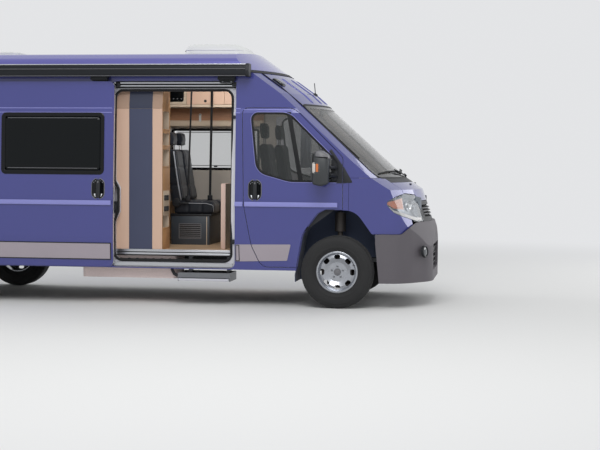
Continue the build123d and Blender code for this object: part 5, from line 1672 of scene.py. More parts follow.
@dataclass
class Bed:
    """Rear bed: base, front board with its locker doors, and a sewn three-part mattress."""

    front: float = -1.050
    rear: float = -2.868

    def build(self) -> None:
        """Build the bed in place of the plain one."""
        base = Shape()
        base.block((self.rear, -0.905, 0.978), (self.front, 0.905, 1.0085), 0.004)
        made = base.piece("bed_base", CREAM_LAMINATE, "cabinet_wood")
        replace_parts(made, "rear_bed")
        board = Shape()
        board.block((-1.078, -0.925, 0.5605), (-1.052, 0.925, 0.976), 0.004)
        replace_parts(board.piece("bed_front_board", BEIGE_LAMINATE, "cabinet_wood"), "rear_bed")
        doors = Shape()
        for low, high in ((-0.55, -0.03), (0.03, 0.55)):
            doors.plate(rectangle(low, 0.60, high, 0.94, 0.015, 4), LOCKER_EDGE,
                        Upright(-1.052, 1))
        doors.piece("bed_locker_doors", BLUE_LAMINATE, "cabinet_wood")
        work = Upholstery(voxel=0.022, cap=0.010)
        seams = [((-2.26, 0, 0), (1, 0, 0)), ((-1.65, 0, 0), (1, 0, 0)), ((0, 0, 1.070), (0, 0, 1))]
        pad = work.cushion("bed_mattress",
                           [(self.rear + 0.004, 1.011, 0.03), (self.front + 0.006, 1.011, 0.03),
                            (self.front + 0.006, 1.129, 0.04), (self.rear + 0.004, 1.129, 0.04)], -0.898,
                           0.898, seams, TICKING, "bed_fabric")
        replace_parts(pad, "rear_bed")


@dataclass
class TallCabinet:
    """Striped panels, with darker upper panels as painted shade, and the wood front with its niches and
    sockets.
    """

    rear: float = -0.331
    front: float = 0.1945
    near: float = -0.8895
    far: float = -0.5605
    low: float = 0.563
    kink: float = 2.090
    top: float = 2.3295
    stripe: tuple[float, float] = (-0.157, 0.093)
    shade_line: float = 2.035
    pockets: tuple[tuple[float, float], ...] = ((0.777, 0.960), (1.420, 1.610), (1.640, 1.780),
                                                (1.810, 2.010))
    sockets: tuple[float, ...] = (0.990, 1.105)

    def build(self) -> None:
        """Build the panels, the wood front and its fittings."""
        spans = (("rear", self.rear, self.stripe[0] - 0.001, BEIGE_LAMINATE, SHADED_BEIGE_LAMINATE),
                 ("stripe", self.stripe[0] + 0.001, self.stripe[1] - 0.001, BLUE_LAMINATE, SHADED_BLUE_LAMINATE),
                 ("front", self.stripe[1] + 0.001, self.front + 0.004, BEIGE_LAMINATE, SHADED_BEIGE_LAMINATE))
        # Each upper panel takes the darker copy of its laminate as painted shade under the roof
        for name, start, end, finish, darker in spans:
            self.panel(start, end).piece("cabinet_panel_" + name, finish, "cabinet_wood", edge=0.0015)
            self.upper_panel(start, end).piece("cabinet_upper_painted_shade_" + name, darker, "cabinet_wood", edge=0.0015)
        self.wood_front()
        self.fittings()

    def panel(self, start: float, end: float) -> Shape:
        """Build one upright panel up to the joint under the kink."""
        shape = Shape()
        shape.block((start, self.near - 0.004, self.low), (end, self.near + 0.001, self.shade_line - 0.001),
                    0.0005, 1)
        return shape

    def upper_panel(self, start: float, end: float) -> Shape:
        """Build one upper panel that leans inwards over its kink."""
        lean = 0.060
        ring = [(self.near - 0.004, self.shade_line + 0.001), (self.near - 0.004, self.kink),
                (self.near - 0.004 + lean, self.top), (self.near + 0.001 + lean, self.top),
                (self.near + 0.001, self.kink), (self.near + 0.001, self.shade_line + 0.001)]
        shape = Shape()
        shape.solid([[(x, y, z) for y, z in ring] for x in (start, end)])
        return shape

    def wood_front(self) -> None:
        """Build the frame of the front around its niches."""
        shape = Shape()
        face = self.front + 0.004
        inner_near, inner_far = -0.8605, -0.5845
        shape.block((self.front, self.near, self.low), (face, inner_near, self.kink), 0.001)
        shape.block((self.front, inner_far, self.low), (face, self.far, self.top), 0.001)
        heights = [self.low, *(z for pair in self.pockets for z in pair), self.top]
        for low, high in zip(heights[::2], heights[1::2]):
            shape.block((self.front, inner_near, low), (face, inner_far, high), 0.001)
        shape.piece("cabinet_wood_front", HONEY_WOOD, "cabinet_wood")
        lips = Shape()
        for low, high in self.pockets:
            lips.block((self.front - 0.004, inner_near, low), (face + 0.003, inner_far, low + 0.016), 0.003)
        lips.piece("cabinet_niche_lips", HONEY_WOOD, "cabinet_wood")
        backs = Shape()
        for low, high in self.pockets:
            backs.block((-0.0595, -0.8595, low + 0.001), (-0.054, -0.5855, high - 0.001), 0.001)
            backs.block((-0.0595, -0.5905, low + 0.001), (self.front - 0.005, -0.5855, high - 0.001), 0.001)
        backs.piece("cabinet_niche_linings", CREAM_LAMINATE, "cabinet_wood")

    def fittings(self) -> None:
        """Build the socket plate and its round sockets."""
        face = self.front + 0.004
        plate = Shape()
        low, high = self.sockets[0] - 0.070, self.sockets[-1] + 0.075
        plate.plate(rectangle(-0.850, low, -0.595, high, 0.006, 3),
                    [(0.0, -0.001), (0.0, 0.0015), (-0.002, 0.0025)], Upright(face, 1))
        plate.piece("cabinet_socket_plate", CREAM_LAMINATE, "cabinet_wood")
        sockets = Shape()
        wells = Shape()
        for z in self.sockets:
            for y in (-0.775, -0.675):
                sockets.plate(rectangle(y - 0.040, z - 0.027, y + 0.040, z + 0.027, 0.010, 4),
                              [(0.0, 0.0015), (0.0, 0.008), (-0.003, 0.011)], Upright(face, 1))
                wells.turned([(0.019, 0.010), (0.019, 0.0125), (0.016, 0.0125), (0.015, 0.006),
                              (0.002, 0.006)], (face, y, z), (1, 0, 0), 24)
        sockets.piece("cabinet_sockets", BLACK_ABS, "cabinet_wood")
        wells.piece("cabinet_socket_wells", GREY_ABS, "cabinet_wood")


@dataclass
class Lockers:
    """Doors, rails, lamp and control panel of the overhead lockers on the far side."""

    face: float = 0.560
    low: float = 2.103
    top: float = 2.398
    board: float = 0.880
    doors: tuple[tuple[float, float], ...] = ((-1.494, -1.052), (-1.048, -0.612), (-0.608, -0.152),
                                              (0.122, 0.558), (0.563, 0.956))

    def build(self) -> None:
        """Build everything on the lockers and the wall under them."""
        place = Along(self.face, -1)
        fronts = Shape()
        latches = Shape()
        for low, high in self.doors:
            fronts.plate(rectangle(low, self.low + 0.032, high, self.top - 0.004, 0.004, 3),
                         LOCKER_EDGE, place)
            middle = (low + high) / 2
            latches.turned([(0.016, 0.0), (0.016, 0.0035), (0.011, 0.005), (0.004, 0.003)],
                           (middle, self.face - 0.014, self.low + 0.070), (0, -1, 0), 20)
        fronts.piece("locker_doors", BEIGE_LAMINATE, "cabinet_wood")
        latches.piece("locker_latches", BLACK_ABS, "cabinet_wood")
        lip = Shape()
        lip.tube([(-1.494, self.face - 0.006, self.low + 0.014),
                  (0.956, self.face - 0.006, self.low + 0.014)],
                 rectangle(-0.012, -0.014, 0.012, 0.014, 0.005, 3))
        lip.piece("locker_lower_rail", CREAM_LAMINATE, "cabinet_wood")
        self.panel(place)
        self.wall()

    def panel(self, place: Place) -> None:
        """Build the dark control panel between two doors."""
        frame = Shape()
        frame.plate(rectangle(-0.146, self.low + 0.032, 0.118, self.top - 0.004, 0.004, 3),
                    LOCKER_EDGE, place)
        frame.piece("control_panel_frame", CREAM_LAMINATE, "cabinet_wood")
        glass = Shape()
        glass.plate(rectangle(-0.120, self.low + 0.060, 0.090, self.top - 0.020, 0.030, 5),
                    [(0.0, 0.014), (0.0, 0.017), (-0.003, 0.019)], place)
        glass.piece("control_panel_glass", DARK_ACRYLIC, "cabinet_wood")
        keys = Shape()
        for step in range(4):
            keys.turned([(0.008, 0.0), (0.008, 0.002), (0.006, 0.003)],
                        (-0.075 + step * 0.045, self.face - 0.019, self.low + 0.095), (0, -1, 0), 16)
        keys.piece("control_panel_keys", GREY_ABS, "cabinet_wood")

    def wall(self) -> None:
        """Build the wood band, the pale rail and the reading lamp under the lockers."""
        band = Shape()
        band.block((-0.998, self.board - 0.0045, 1.962), (0.958, self.board + 0.001, 2.100), 0.001)
        band.piece("wall_wood_band", BROWN_WOOD, "cabinet_wood")
        rail = Shape()
        rail.tube([(-0.998, self.board - 0.006, 1.922), (0.958, self.board - 0.006, 1.922)],
                  rounded([(-0.020, -0.034, 0.014), (0.020, -0.030, 0.014), (0.014, 0.034, 0.008),
                           (-0.020, 0.034, 0.008)], 4))
        rail.piece("wall_blind_rail", CREAM_LAMINATE, "cabinet_wood")
        lamp = Shape()
        lamp.block((0.196, self.board - 0.026, 1.945), (0.222, self.board - 0.004, 2.040), 0.006, 3)
        lamp.piece("reading_lamp", WHITE_ABS, "white_plastic")
        button = Shape()
        button.turned([(0.007, 0.0), (0.007, 0.003), (0.005, 0.004)], (0.209, self.board - 0.026, 2.026),
                      (0, -1, 0), 14)
        button.piece("reading_lamp_button", BLACK_ABS, "black_plastic")


@dataclass
class LivingShell:
    """Plank floor, rubber floor mat, ceiling panel with light strips, wall lining and partition trims."""

    floor: float = 0.5602

    def build(self) -> None:
        """Build every lining of the living space."""
        planks = Shape()
        width = 0.150
        for row in range(12):
            low = -0.880 + row * width
            high = min(low + width - 0.001, 0.900)
            for start, end in ((-1.048, -0.30 - 0.16 * (row % 3)), (-0.299 - 0.16 * (row % 3), 1.020)):
                planks.block((start, low, self.floor), (end, high, self.floor + 0.004), 0.0008, 1)
        planks.piece("floor_planks", FLOOR_WOOD, "cabinet_wood")
        mats = Shape()
        mats.block((1.022, -0.890, self.floor), (1.600, 0.890, self.floor + 0.005), 0.002)
        mats.block((1.602, -0.560, self.floor), (2.160, 0.560, self.floor + 0.005), 0.002)
        mats.block((-2.860, -0.665, self.floor), (-1.090, 0.665, self.floor + 0.005), 0.002)
        mats.piece("floor_mats", EPDM, "seal_rubber")
        ceiling = Shape()
        ceiling.block((-1.50, -0.54, 2.522), (1.04, 0.54, 2.534), 0.004)
        ceiling.block((-2.80, -0.68, 2.522), (-1.505, 0.68, 2.534), 0.004)
        ceiling.piece("ceiling_panels", CARPET, "cabinet_wood")
        strips = Shape()
        for y in (-0.50, 0.47):
            strips.block((-1.40, y, 2.514), (0.95, y + 0.030, 2.523), 0.003)
        strips.piece("ceiling_light_strips", LIGHT_STRIP, "white_plastic")
        wall = Shape()
        wall.block((0.562, 0.905, 0.565), (1.035, 0.918, 1.300), 0.004)
        wall.block((-1.045, 0.905, 0.565), (0.055, 0.918, 1.300), 0.004)
        wall.piece("wall_lining_left", CREAM_LAMINATE, "cabinet_wood")
        edge = Shape()
        edge.block((0.7545, -0.5625, self.floor), (0.8035, -0.5590, 1.252), 0.001)
        edge.block((0.7545, -0.5590, 1.2495), (0.8035, -0.2485, 1.2545), 0.001)
        edge.piece("partition_edge", PARTITION_EDGE, "cabinet_wood")


@dataclass
class DashTrim:
    """Instrument hood, screens, vents, shift lever and inner mirror around the dashboard."""

    wheel_y: float = 0.430

    def build(self) -> None:
        """Build the pieces of the dashboard."""
        hood = Shape()
        hood.solid([[(x, self.wheel_y + y, z) for y, z in rows] for x,
                    rows in ((1.868, ((-0.17, 1.245), (-0.15, 1.300), (-0.06, 1.322), (0.06, 1.322),
                                      (0.15, 1.300), (0.17, 1.245))),
                             (1.930, ((-0.18, 1.250), (-0.16, 1.312), (-0.06, 1.334), (0.06, 1.334),
                                      (0.16, 1.312), (0.18, 1.250))),
                             (2.060, ((-0.17, 1.258), (-0.12, 1.272), (-0.06, 1.276), (0.06, 1.276),
                                      (0.12, 1.272), (0.17, 1.258))))])
        hood.block((1.846, -0.150, 1.100), (1.872, 0.120, 1.282), 0.010, 3)
        hood.piece("dash_hood", BLACK_ABS, "dash_plastic", crease=50)
        screens = Shape()
        screens.plate(rectangle(-0.135, 1.118, 0.105, 1.268, 0.008, 3), [(0.0, -0.002), (0.0, 0.002)],
                      Upright(1.846, -1))
        screens.plate(rectangle(self.wheel_y - 0.13, 1.256, self.wheel_y + 0.13, 1.306, 0.012, 3),
                      [(0.0, -0.002), (0.0, 0.002)], Upright(1.868, -1))
        screens.piece("dash_screens", GLOSS_ABS, "dash_plastic")
        vents = Shape()
        for y in (-0.840, -0.300, 0.195, 0.840):
            vents.turned([(0.048, 0.004), (0.052, -0.010), (0.046, -0.016), (0.040, -0.010), (0.012, -0.004)],
                         (1.828, y, 1.172), (1, 0, 0), 28)
            for step in range(4):
                z = 1.148 + step * 0.016
                vents.block((1.816, y - 0.036, z - 0.002), (1.828, y + 0.036, z + 0.002), 0.001)
        vents.piece("dash_vents", GLOSS_ABS, "dash_plastic")
        lever = Shape()
        lever.turned([(0.040, 0.0), (0.034, 0.020), (0.014, 0.040), (0.010, 0.080)], (1.800, 0.060, 0.985),
                     (-0.45, 0, 1), 20)
        lever.turned([(0.010, 0.070), (0.020, 0.085), (0.024, 0.105), (0.016, 0.125), (0.004, 0.130)],
                     (1.800, 0.060, 0.985), (-0.45, 0, 1), 20)
        lever.piece("shift_lever", LEATHER, "dash_plastic", crease=70)
        mirror = Shape()
        mirror.block((1.735, -0.105, 1.985), (1.760, 0.105, 2.045), 0.012, 3)
        mirror.tube([(1.750, 0.0, 2.030), (1.800, 0.0, 2.062)], circle(0.010, 10), up=(0, 1, 0))
        mirror.piece("inner_mirror", BLACK_ABS, "black_plastic")


@dataclass
class Wheels:
    """Treaded tyres in place of the plain ones, and the caps, bolts and valves of the rims."""

    hub_z: float = 0.372
    places: tuple[tuple[str, float, float], ...] = (("front", 2.051, 0.905), ("rear", -1.984, 0.895))
    ribs: tuple[tuple[float, float], ...] = ((-0.0915, -0.064), (-0.056, -0.024), (-0.016, 0.016),
                                             (0.024, 0.056), (0.064, 0.0915))
    pitches: int = 58
    side_wall: tuple[tuple[float, float], ...] = ((0.2042, 0.0755), (0.2135, 0.0758), (0.2145, 0.0850),
                                                  (0.2190, 0.0885), (0.2235, 0.0870), (0.2270, 0.0905),
                                                  (0.2450, 0.1015), (0.2520, 0.1046), (0.2530, 0.1060),
                                                  (0.2590, 0.1070), (0.2600, 0.1068), (0.2780, 0.1105),
                                                  (0.2950, 0.1117), (0.3120, 0.1100), (0.3180, 0.1088),
                                                  (0.3190, 0.1094), (0.3260, 0.1076), (0.3270, 0.1060),
                                                  (0.3400, 0.1016), (0.3520, 0.0975), (0.3600, 0.0925),
                                                  (0.3635, 0.0860))

    def build(self) -> None:
        """Build all four wheels."""
        for name, side in SIDES.items():
            for end, x, y in self.places:
                centre = Vector((x, side * y, self.hub_z))
                label = end + "_" + name
                body = "wheel_" + label
                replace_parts(self.tyre(centre, side).piece("tyre_" + label + "_treaded", TYRE_RUBBER,
                                                          "tyre_rubber", body, crease=40), "tyre_" + label)
                self.trims(centre, side, label, body)

    def tyre(self, centre: Vector, side: int) -> Shape:
        """Turn the carcass and set the tread blocks on it."""
        shape = Shape()
        rows = [*self.side_wall, *[(radius, -along) for radius, along in self.side_wall[::-1]]]
        steps = 96
        rings = [[self.spot(centre, side, radius, along, math.tau * step / steps) for step in range(steps)]
                 for radius, along in rows]
        shape.loops(rings + rings[:1])
        for index, (low, high) in enumerate(self.ribs):
            for pitch in range(self.pitches):
                self.lug(shape, centre, side, (low, high), pitch + 0.37 * index)
        return shape

    def lug(self, shape: Shape, centre: Vector, side: int, span: tuple[float, float], turn: float) -> None:
        """Set one tread block, slanted a little, on the carcass.

        Args:
            shape: Mesh that takes it.
            centre: Middle of the wheel.
            side: Side of the vehicle.
            span: Edges across the tread.
            turn: Place round the tyre in pitches.
        """
        step = math.tau / self.pitches
        rings = []
        for radius, inset in ((0.3615, 0.0), (0.3698, 0.0), (0.3716, 0.0016)):
            ring = []
            for along, start, end in ((span[0], 0.06, 0.90), (span[1], 0.16, 1.00)):
                fall = 0.0045 if abs(along) > 0.09 and radius > 0.365 else 0.0
                shift = inset if along == span[0] else -inset
                edge = [(along + shift, (turn + share) * step + sign * inset / 0.37, radius - fall)
                        for share, sign in ((start, 1), (end, -1))]
                ring.extend(edge if along == span[0] else edge[::-1])
            rings.append([self.spot(centre, side, radius, along, angle) for along, angle, radius in ring])
        shape.loops(rings, last_cap=True)

    @staticmethod
    def spot(centre: Vector, side: int, radius: float, along: float, angle: float) -> Vector:
        """Give the place of a point on the wheel."""
        return centre + Vector((radius * math.cos(angle), side * along, radius * math.sin(angle)))

    def trims(self, centre: Vector, side: int, label: str, body: str) -> None:
        """Build the cap, the bolts, the bright lip and the valve of one rim."""
        out = Vector((0, side, 0))
        cap = Shape()
        cap.turned([(0.034, 0.0435), (0.036, 0.046), (0.036, 0.054), (0.031, 0.059), (0.029, 0.057),
                    (0.014, 0.060), (0.002, 0.061)], centre, out, 40)
        cap.piece("hub_cap_" + label, GREY_ABS, "rail_alloy", body, crease=30)
        bolts = Shape()
        wells = Shape()
        for step in range(5):
            foot = self.spot(centre, side, 0.059, 0.0, math.tau * (step + 0.25) / 5)
            wells.turned([(0.0155, 0.0441), (0.0155, 0.0452), (0.0125, 0.0456)], foot, out, 20)
            bolts.turned([(0.0125, 0.0454), (0.0125, 0.047), (0.0098, 0.048), (0.0098, 0.056),
                          (0.0085, 0.0575)], foot, out, 6)
        bolts.piece("wheel_bolts_" + label, BARE_STEEL, "rail_alloy", body, crease=25)
        wells.piece("bolt_seats_" + label, RIM_STEEL, "rail_alloy", body)
        lip = Shape()
        steps = 72
        rings = [[self.spot(centre, side, radius, along, math.tau * step / steps) for step in range(steps)]
                 for radius, along in ((0.1965, 0.0825), (0.1975, 0.0845), (0.2085, 0.0850), (0.2112, 0.0835),
                                       (0.2095, 0.0825))]
        lip.loops(rings + rings[:1])
        lip.piece("rim_lip_" + label, RIM_STEEL, "rail_alloy", body, crease=50)
        valve = Shape()
        valve.turned([(0.0075, 0.0), (0.0065, 0.006), (0.0040, 0.010), (0.0040, 0.030), (0.0046, 0.031),
                      (0.0046, 0.040), (0.0036, 0.041)], self.spot(centre, side, 0.1880, 0.046, 0.39), out,
                     14)
        valve.piece("valve_" + label, EPDM, "rail_alloy", body)


@dataclass
class EngineBay:
    """Cover, pulleys and radiator, seen under the open bonnet and behind the grille."""

    front: float = 2.740
    top: float = 1.040

    def build(self) -> None:
        """Build the pieces on the engine."""
        cover = Shape()
        outline = rectangle(2.330, -0.280, 2.690, 0.240, 0.040, 5)
        cover.solid([[(x, y, z) for x, y in grown(outline, reach)] for reach,
                     z in ((0.0, self.top), (0.0, self.top + 0.012), (-0.010, self.top + 0.022),
                           (-0.030, self.top + 0.026))])
        for step in range(6):
            y = -0.210 + step * 0.070
            cover.block((2.375, y, self.top + 0.024), (2.645, y + 0.014, self.top + 0.031), 0.003)
        cover.piece("engine_cover", BLACK_ABS, "engine_alloy", crease=40)
        cap = Shape()
        cap.turned([(0.030, 0.0), (0.034, 0.004), (0.034, 0.022), (0.028, 0.027)], (2.640, 0.300, self.top),
                   (0, 0, 1), 24)
        cap.block((2.612, 0.296, self.top + 0.026), (2.668, 0.304, self.top + 0.036), 0.002)
        cap.piece("oil_cap", BLACK_ABS, "engine_alloy")
        wheels = Shape()
        for x, z, radius in ((2.520, 0.620, 0.075), (2.420, 0.800, 0.048), (2.630, 0.860, 0.055)):
            wheels.turned([(radius, 0.004), (radius, 0.010), (radius - 0.006, 0.013),
                           (radius - 0.006, 0.027), (radius, 0.030), (radius, 0.036), (0.020, 0.036),
                           (0.016, 0.044)], (x, 0.369, z), (0, 1, 0), 36)
        wheels.piece("belt_pulleys", BARE_STEEL, "engine_alloy")
        core = Shape()
        core.block((self.front + 0.001, -0.345, 0.640), (self.front + 0.022, 0.345, 1.020), 0.003)
        for step in range(28):
            z = 0.652 + step * 0.0128
            core.block((self.front + 0.021, -0.330, z), (self.front + 0.026, 0.330, z + 0.005), 0.001, 1)
        core.piece("radiator_core", COATED_STEEL, "engine_alloy")


def dip(y: float) -> float:
    """Tell how far the rounded nose falls back at a distance from the middle."""
    return NOSE_RADIUS - math.sqrt(NOSE_RADIUS ** 2 - y ** 2)


@dataclass(frozen=True)
class Slope:
    """A leaning plane of the nose, bowed back at its sides: Y, Z and how far a point stands proud."""

    x: float
    z: float
    angle: float

    def __call__(self, u: float, v: float, proud: float) -> Vector:
        """Give the place in the row frame."""
        lean = math.radians(self.angle)
        foot = Vector((self.x - dip(u) - (v - self.z) / math.tan(lean), u, v))
        return foot + Vector((math.sin(lean), 0.0, math.cos(lean))) * proud


SCREEN = Slope(2.351, 1.616, 42.0)
FOREHEAD = Slope(1.669, 2.223, 35.5)
NOSE = Slope(2.968, 0.850, 72.0)
HOOD = Slope(2.6631, 1.335, 33.0)


@dataclass(frozen=True)
class BandedLens:
    """Moulded acrylic lens in three colours, one over the other, with fine upright flutes inside.

    The flutes are about 11 mm apart and break the light into soft upright lines under a polished skin.
    """

    name: str = "banded_acrylic_lens"
    pattern_mm: float = 6.0
    bands: tuple[tuple[float, str], ...] = ((0.900, "#C9C2BE"), (1.010, "#B0591F"), (3.000, "#8A1216"))

    def material(self) -> bpy.types.Material:
        """Build the lens."""
        made = bpy.data.materials.new(self.name)
        made.use_nodes = True
        tree = made.node_tree
        shader = tree.nodes["Principled BSDF"]
        shader.inputs["Roughness"].default_value = 0.10
        shader.inputs["Coat Weight"].default_value = 0.8
        spot = add_node(tree, "TexCoord")
        place = add_node(tree, "SeparateXYZ", {}, {0: spot.outputs["Object"]})
        tone = None
        for top, colour in self.bands[::-1]:
            below = add_node(tree, "Math", {"operation": "LESS_THAN", 1: top}, {0: place.outputs["Z"]})
            mix = add_node(tree, "Mix", {"data_type": "RGBA", 6: linear(colour), 7: linear(colour)},
                           {0: below.outputs[0]})
            if tone:
                tree.links.new(tone, mix.inputs[6])
            tone = mix.outputs[2]
        tree.links.new(tone, shader.inputs["Base Color"])
        flutes = add_node(tree, "TexWave", {"Scale": 1000.0 / self.pattern_mm / WAVE_SHARE,
                                            "bands_direction": "Y"}, {"Vector": spot.outputs["Object"]})
        bump = add_node(tree, "Bump", {"Strength": 0.4, "Distance": 0.6 * MM},
                        {"Height": flutes.outputs["Fac"]})
        tree.links.new(bump.outputs[0], shader.inputs["Normal"])
        return made


@dataclass
class Headlamps:
    """Reflectors, bezel and indicator behind the clear cover of each headlamp."""

    nodes: dict
    lower: tuple[tuple[float, float], ...] = ((2.530, 1.085), (2.620, 0.985), (2.840, 0.884), (3.050, 0.884))
    upper: tuple[tuple[float, float], ...] = ((2.530, 1.085), (2.700, 1.178), (3.050, 1.096))
    pivot: tuple[float, float] = (2.480, 0.430)

    def build(self) -> None:
        """Build both lamps behind the solids of the frame, which become their clear covers."""
        dress(self.nodes["headlamps"], LAMP_COVER.material())
        tree = BVHTree.FromPolygons([vert.co.copy() for vert in self.nodes["headlamps"].data.vertices],
                                    [list(face.vertices) for face in self.nodes["headlamps"].data.polygons])
        for name, side in SIDES.items():
            bezel = Shape()
            bezel.loops(self.sheet(tree, side, 2.0, 84.0, 0.03, 0.97, lambda a, b: 0.012 + 0.050 * a * b),
                        closed=False)
            bezel.piece("headlamp_bezel_" + name, LAMP_BEZEL, "lamp_lens", crease=180)
            rim = Shape()
            rim.loops(self.sheet(tree, side, 3.0, 83.0, 0.04, 0.16, lambda a, b: 0.008), closed=False)
            rim.piece("headlamp_light_guide_" + name, PALE_LENS, "lamp_lens", crease=180)
            flash = Shape()
            flash.loops(self.sheet(tree, side, 60.0, 82.0, 0.30, 0.80, lambda a, b: 0.010 - 0.004 * a),
                        closed=False)
            flash.piece("headlamp_indicator_" + name, AMBER_LENS, "lamp_lens", crease=180)
            self.bowls(tree, side, name)

    def limits(self, x: float) -> tuple[float, float]:
        """Tell the lowest and highest point of the lamp at a station."""
        found = []
        for rows in (self.lower, self.upper):
            value = rows[0][1]
            for (near, start), (far, end) in zip(rows, rows[1:]):
                if x >= near:
                    value = start + (end - start) * min(1.0, (x - near) / (far - near))
            found.append(value)
        return found[0], found[1]

    def on_cover(self, tree: BVHTree, side: int, angle: float, share: float, depth: float) -> Vector:
        """Find a place under the cover by looking outwards from a pivot inside the nose.

        Args:
            tree: Search tree of the covers.
            side: Side of the vehicle.
            angle: Direction in degrees, from straight ahead towards the side.
            share: Place between the lamp's lower and upper edge.
            depth: Distance inwards from the cover's outer face.

        Returns:
            The place.
        """
        way = Vector((math.cos(math.radians(angle)), side * math.sin(math.radians(angle)), 0.0))
        z = 1.030
        spot = Vector((self.pivot[0], side * self.pivot[1], z)) + way * 0.4
        for _ in range(4):
            start = Vector((self.pivot[0], side * self.pivot[1], z)) + way * 1.2
            hit = tree.ray_cast(start, -way)[0]
            if hit:
                spot = hit
            low, high = self.limits(spot.x)
            z = low + (high - low) * share
        return Vector((spot.x, spot.y, z)) - way * depth

    def sheet(self, tree: BVHTree, side: int, start: float, end: float, low: float, high: float,
              depth: Callable[[float, float], float]) -> list[list[Vector]]:
        """Lay a sheet under the cover.

        Args:
            tree: Search tree of the covers.
            side: Side of the vehicle.
            start: First direction in degrees.
            end: Last direction in degrees.
            low: Lower edge as a share of the lamp's height.
            high: Upper edge as a share of the lamp's height.
            depth: Distance inwards, from how far along and up a point lies, each 0 at the rims and 1 between.

        Returns:
            Rows of places.
        """
        rows = []
        for step in range(31):
            along = step / 30
            middle = min(1.0, 6 * along, 6 * (1 - along))
            row = []
            for rise in range(9):
                up = rise / 8
                inner = min(1.0, 4 * up, 4 * (1 - up))
                row.append(self.on_cover(tree, side, start + (end - start) * along, low + (high - low) * up,
                                         depth(middle, inner)))
            rows.append(row)
        return rows

    def bowls(self, tree: BVHTree, side: int, name: str) -> None:
        """Build the two round reflectors with their lamps and rims."""
        bowls = Shape()
        bulbs = Shape()
        for angle, share, radius in ((18.0, 0.50, 0.064), (40.0, 0.52, 0.056)):
            centre = self.on_cover(tree, side, angle, share, 0.052)
            facing = Vector((1.0, side * 0.35, 0.02))
            bowls.turned([(0.006, -0.026), (radius * 0.45, -0.024), (radius * 0.80, -0.012),
                          (radius * 0.97, 0.006), (radius, 0.010), (radius * 1.06, 0.006),
                          (radius * 1.02, -0.006), (radius * 0.5, -0.028), (0.006, -0.030)], centre, facing,
                         40)
            bulbs.turned([(0.012, -0.026), (0.016, -0.010), (0.015, 0.002), (0.009, 0.008), (0.002, 0.009)],
                         centre, facing, 24)
        bowls.piece("headlamp_reflectors_" + name, CHROME, "lamp_lens", crease=60)
        bulbs.piece("headlamp_projectors_" + name, LENS_EYE, "lamp_lens", crease=60)


# A polycarbonate cover is thin and clear, with a hard coat that mirrors the sky
LAMP_COVER = Finish("hard_coated_polycarbonate", "#8F99A3", Surface.POLISHED, 0.03, coat=1.0, alpha=0.30,
                    shade=0.01)
LAMP_BEZEL = Finish("satin_metallised_plastic", "#8B9199", Surface.SPRAYED, 0.28, metallic=0.8, shade=0.04)
LENS_EYE = Finish("pressed_glass_lens", "#30363C", Surface.POLISHED, 0.03, coat=1.0)
FRIT = Finish("fired_ceramic_frit", "#0C0D0F", Surface.POLISHED, 0.18, coat=0.5, shade=0.02)
PLATE_SHEET = Finish("reflective_plate_sheet", "#D9DADA", Surface.SPRAYED, 0.32, pattern_mm=1.5,
                     relief_mm=0.05)


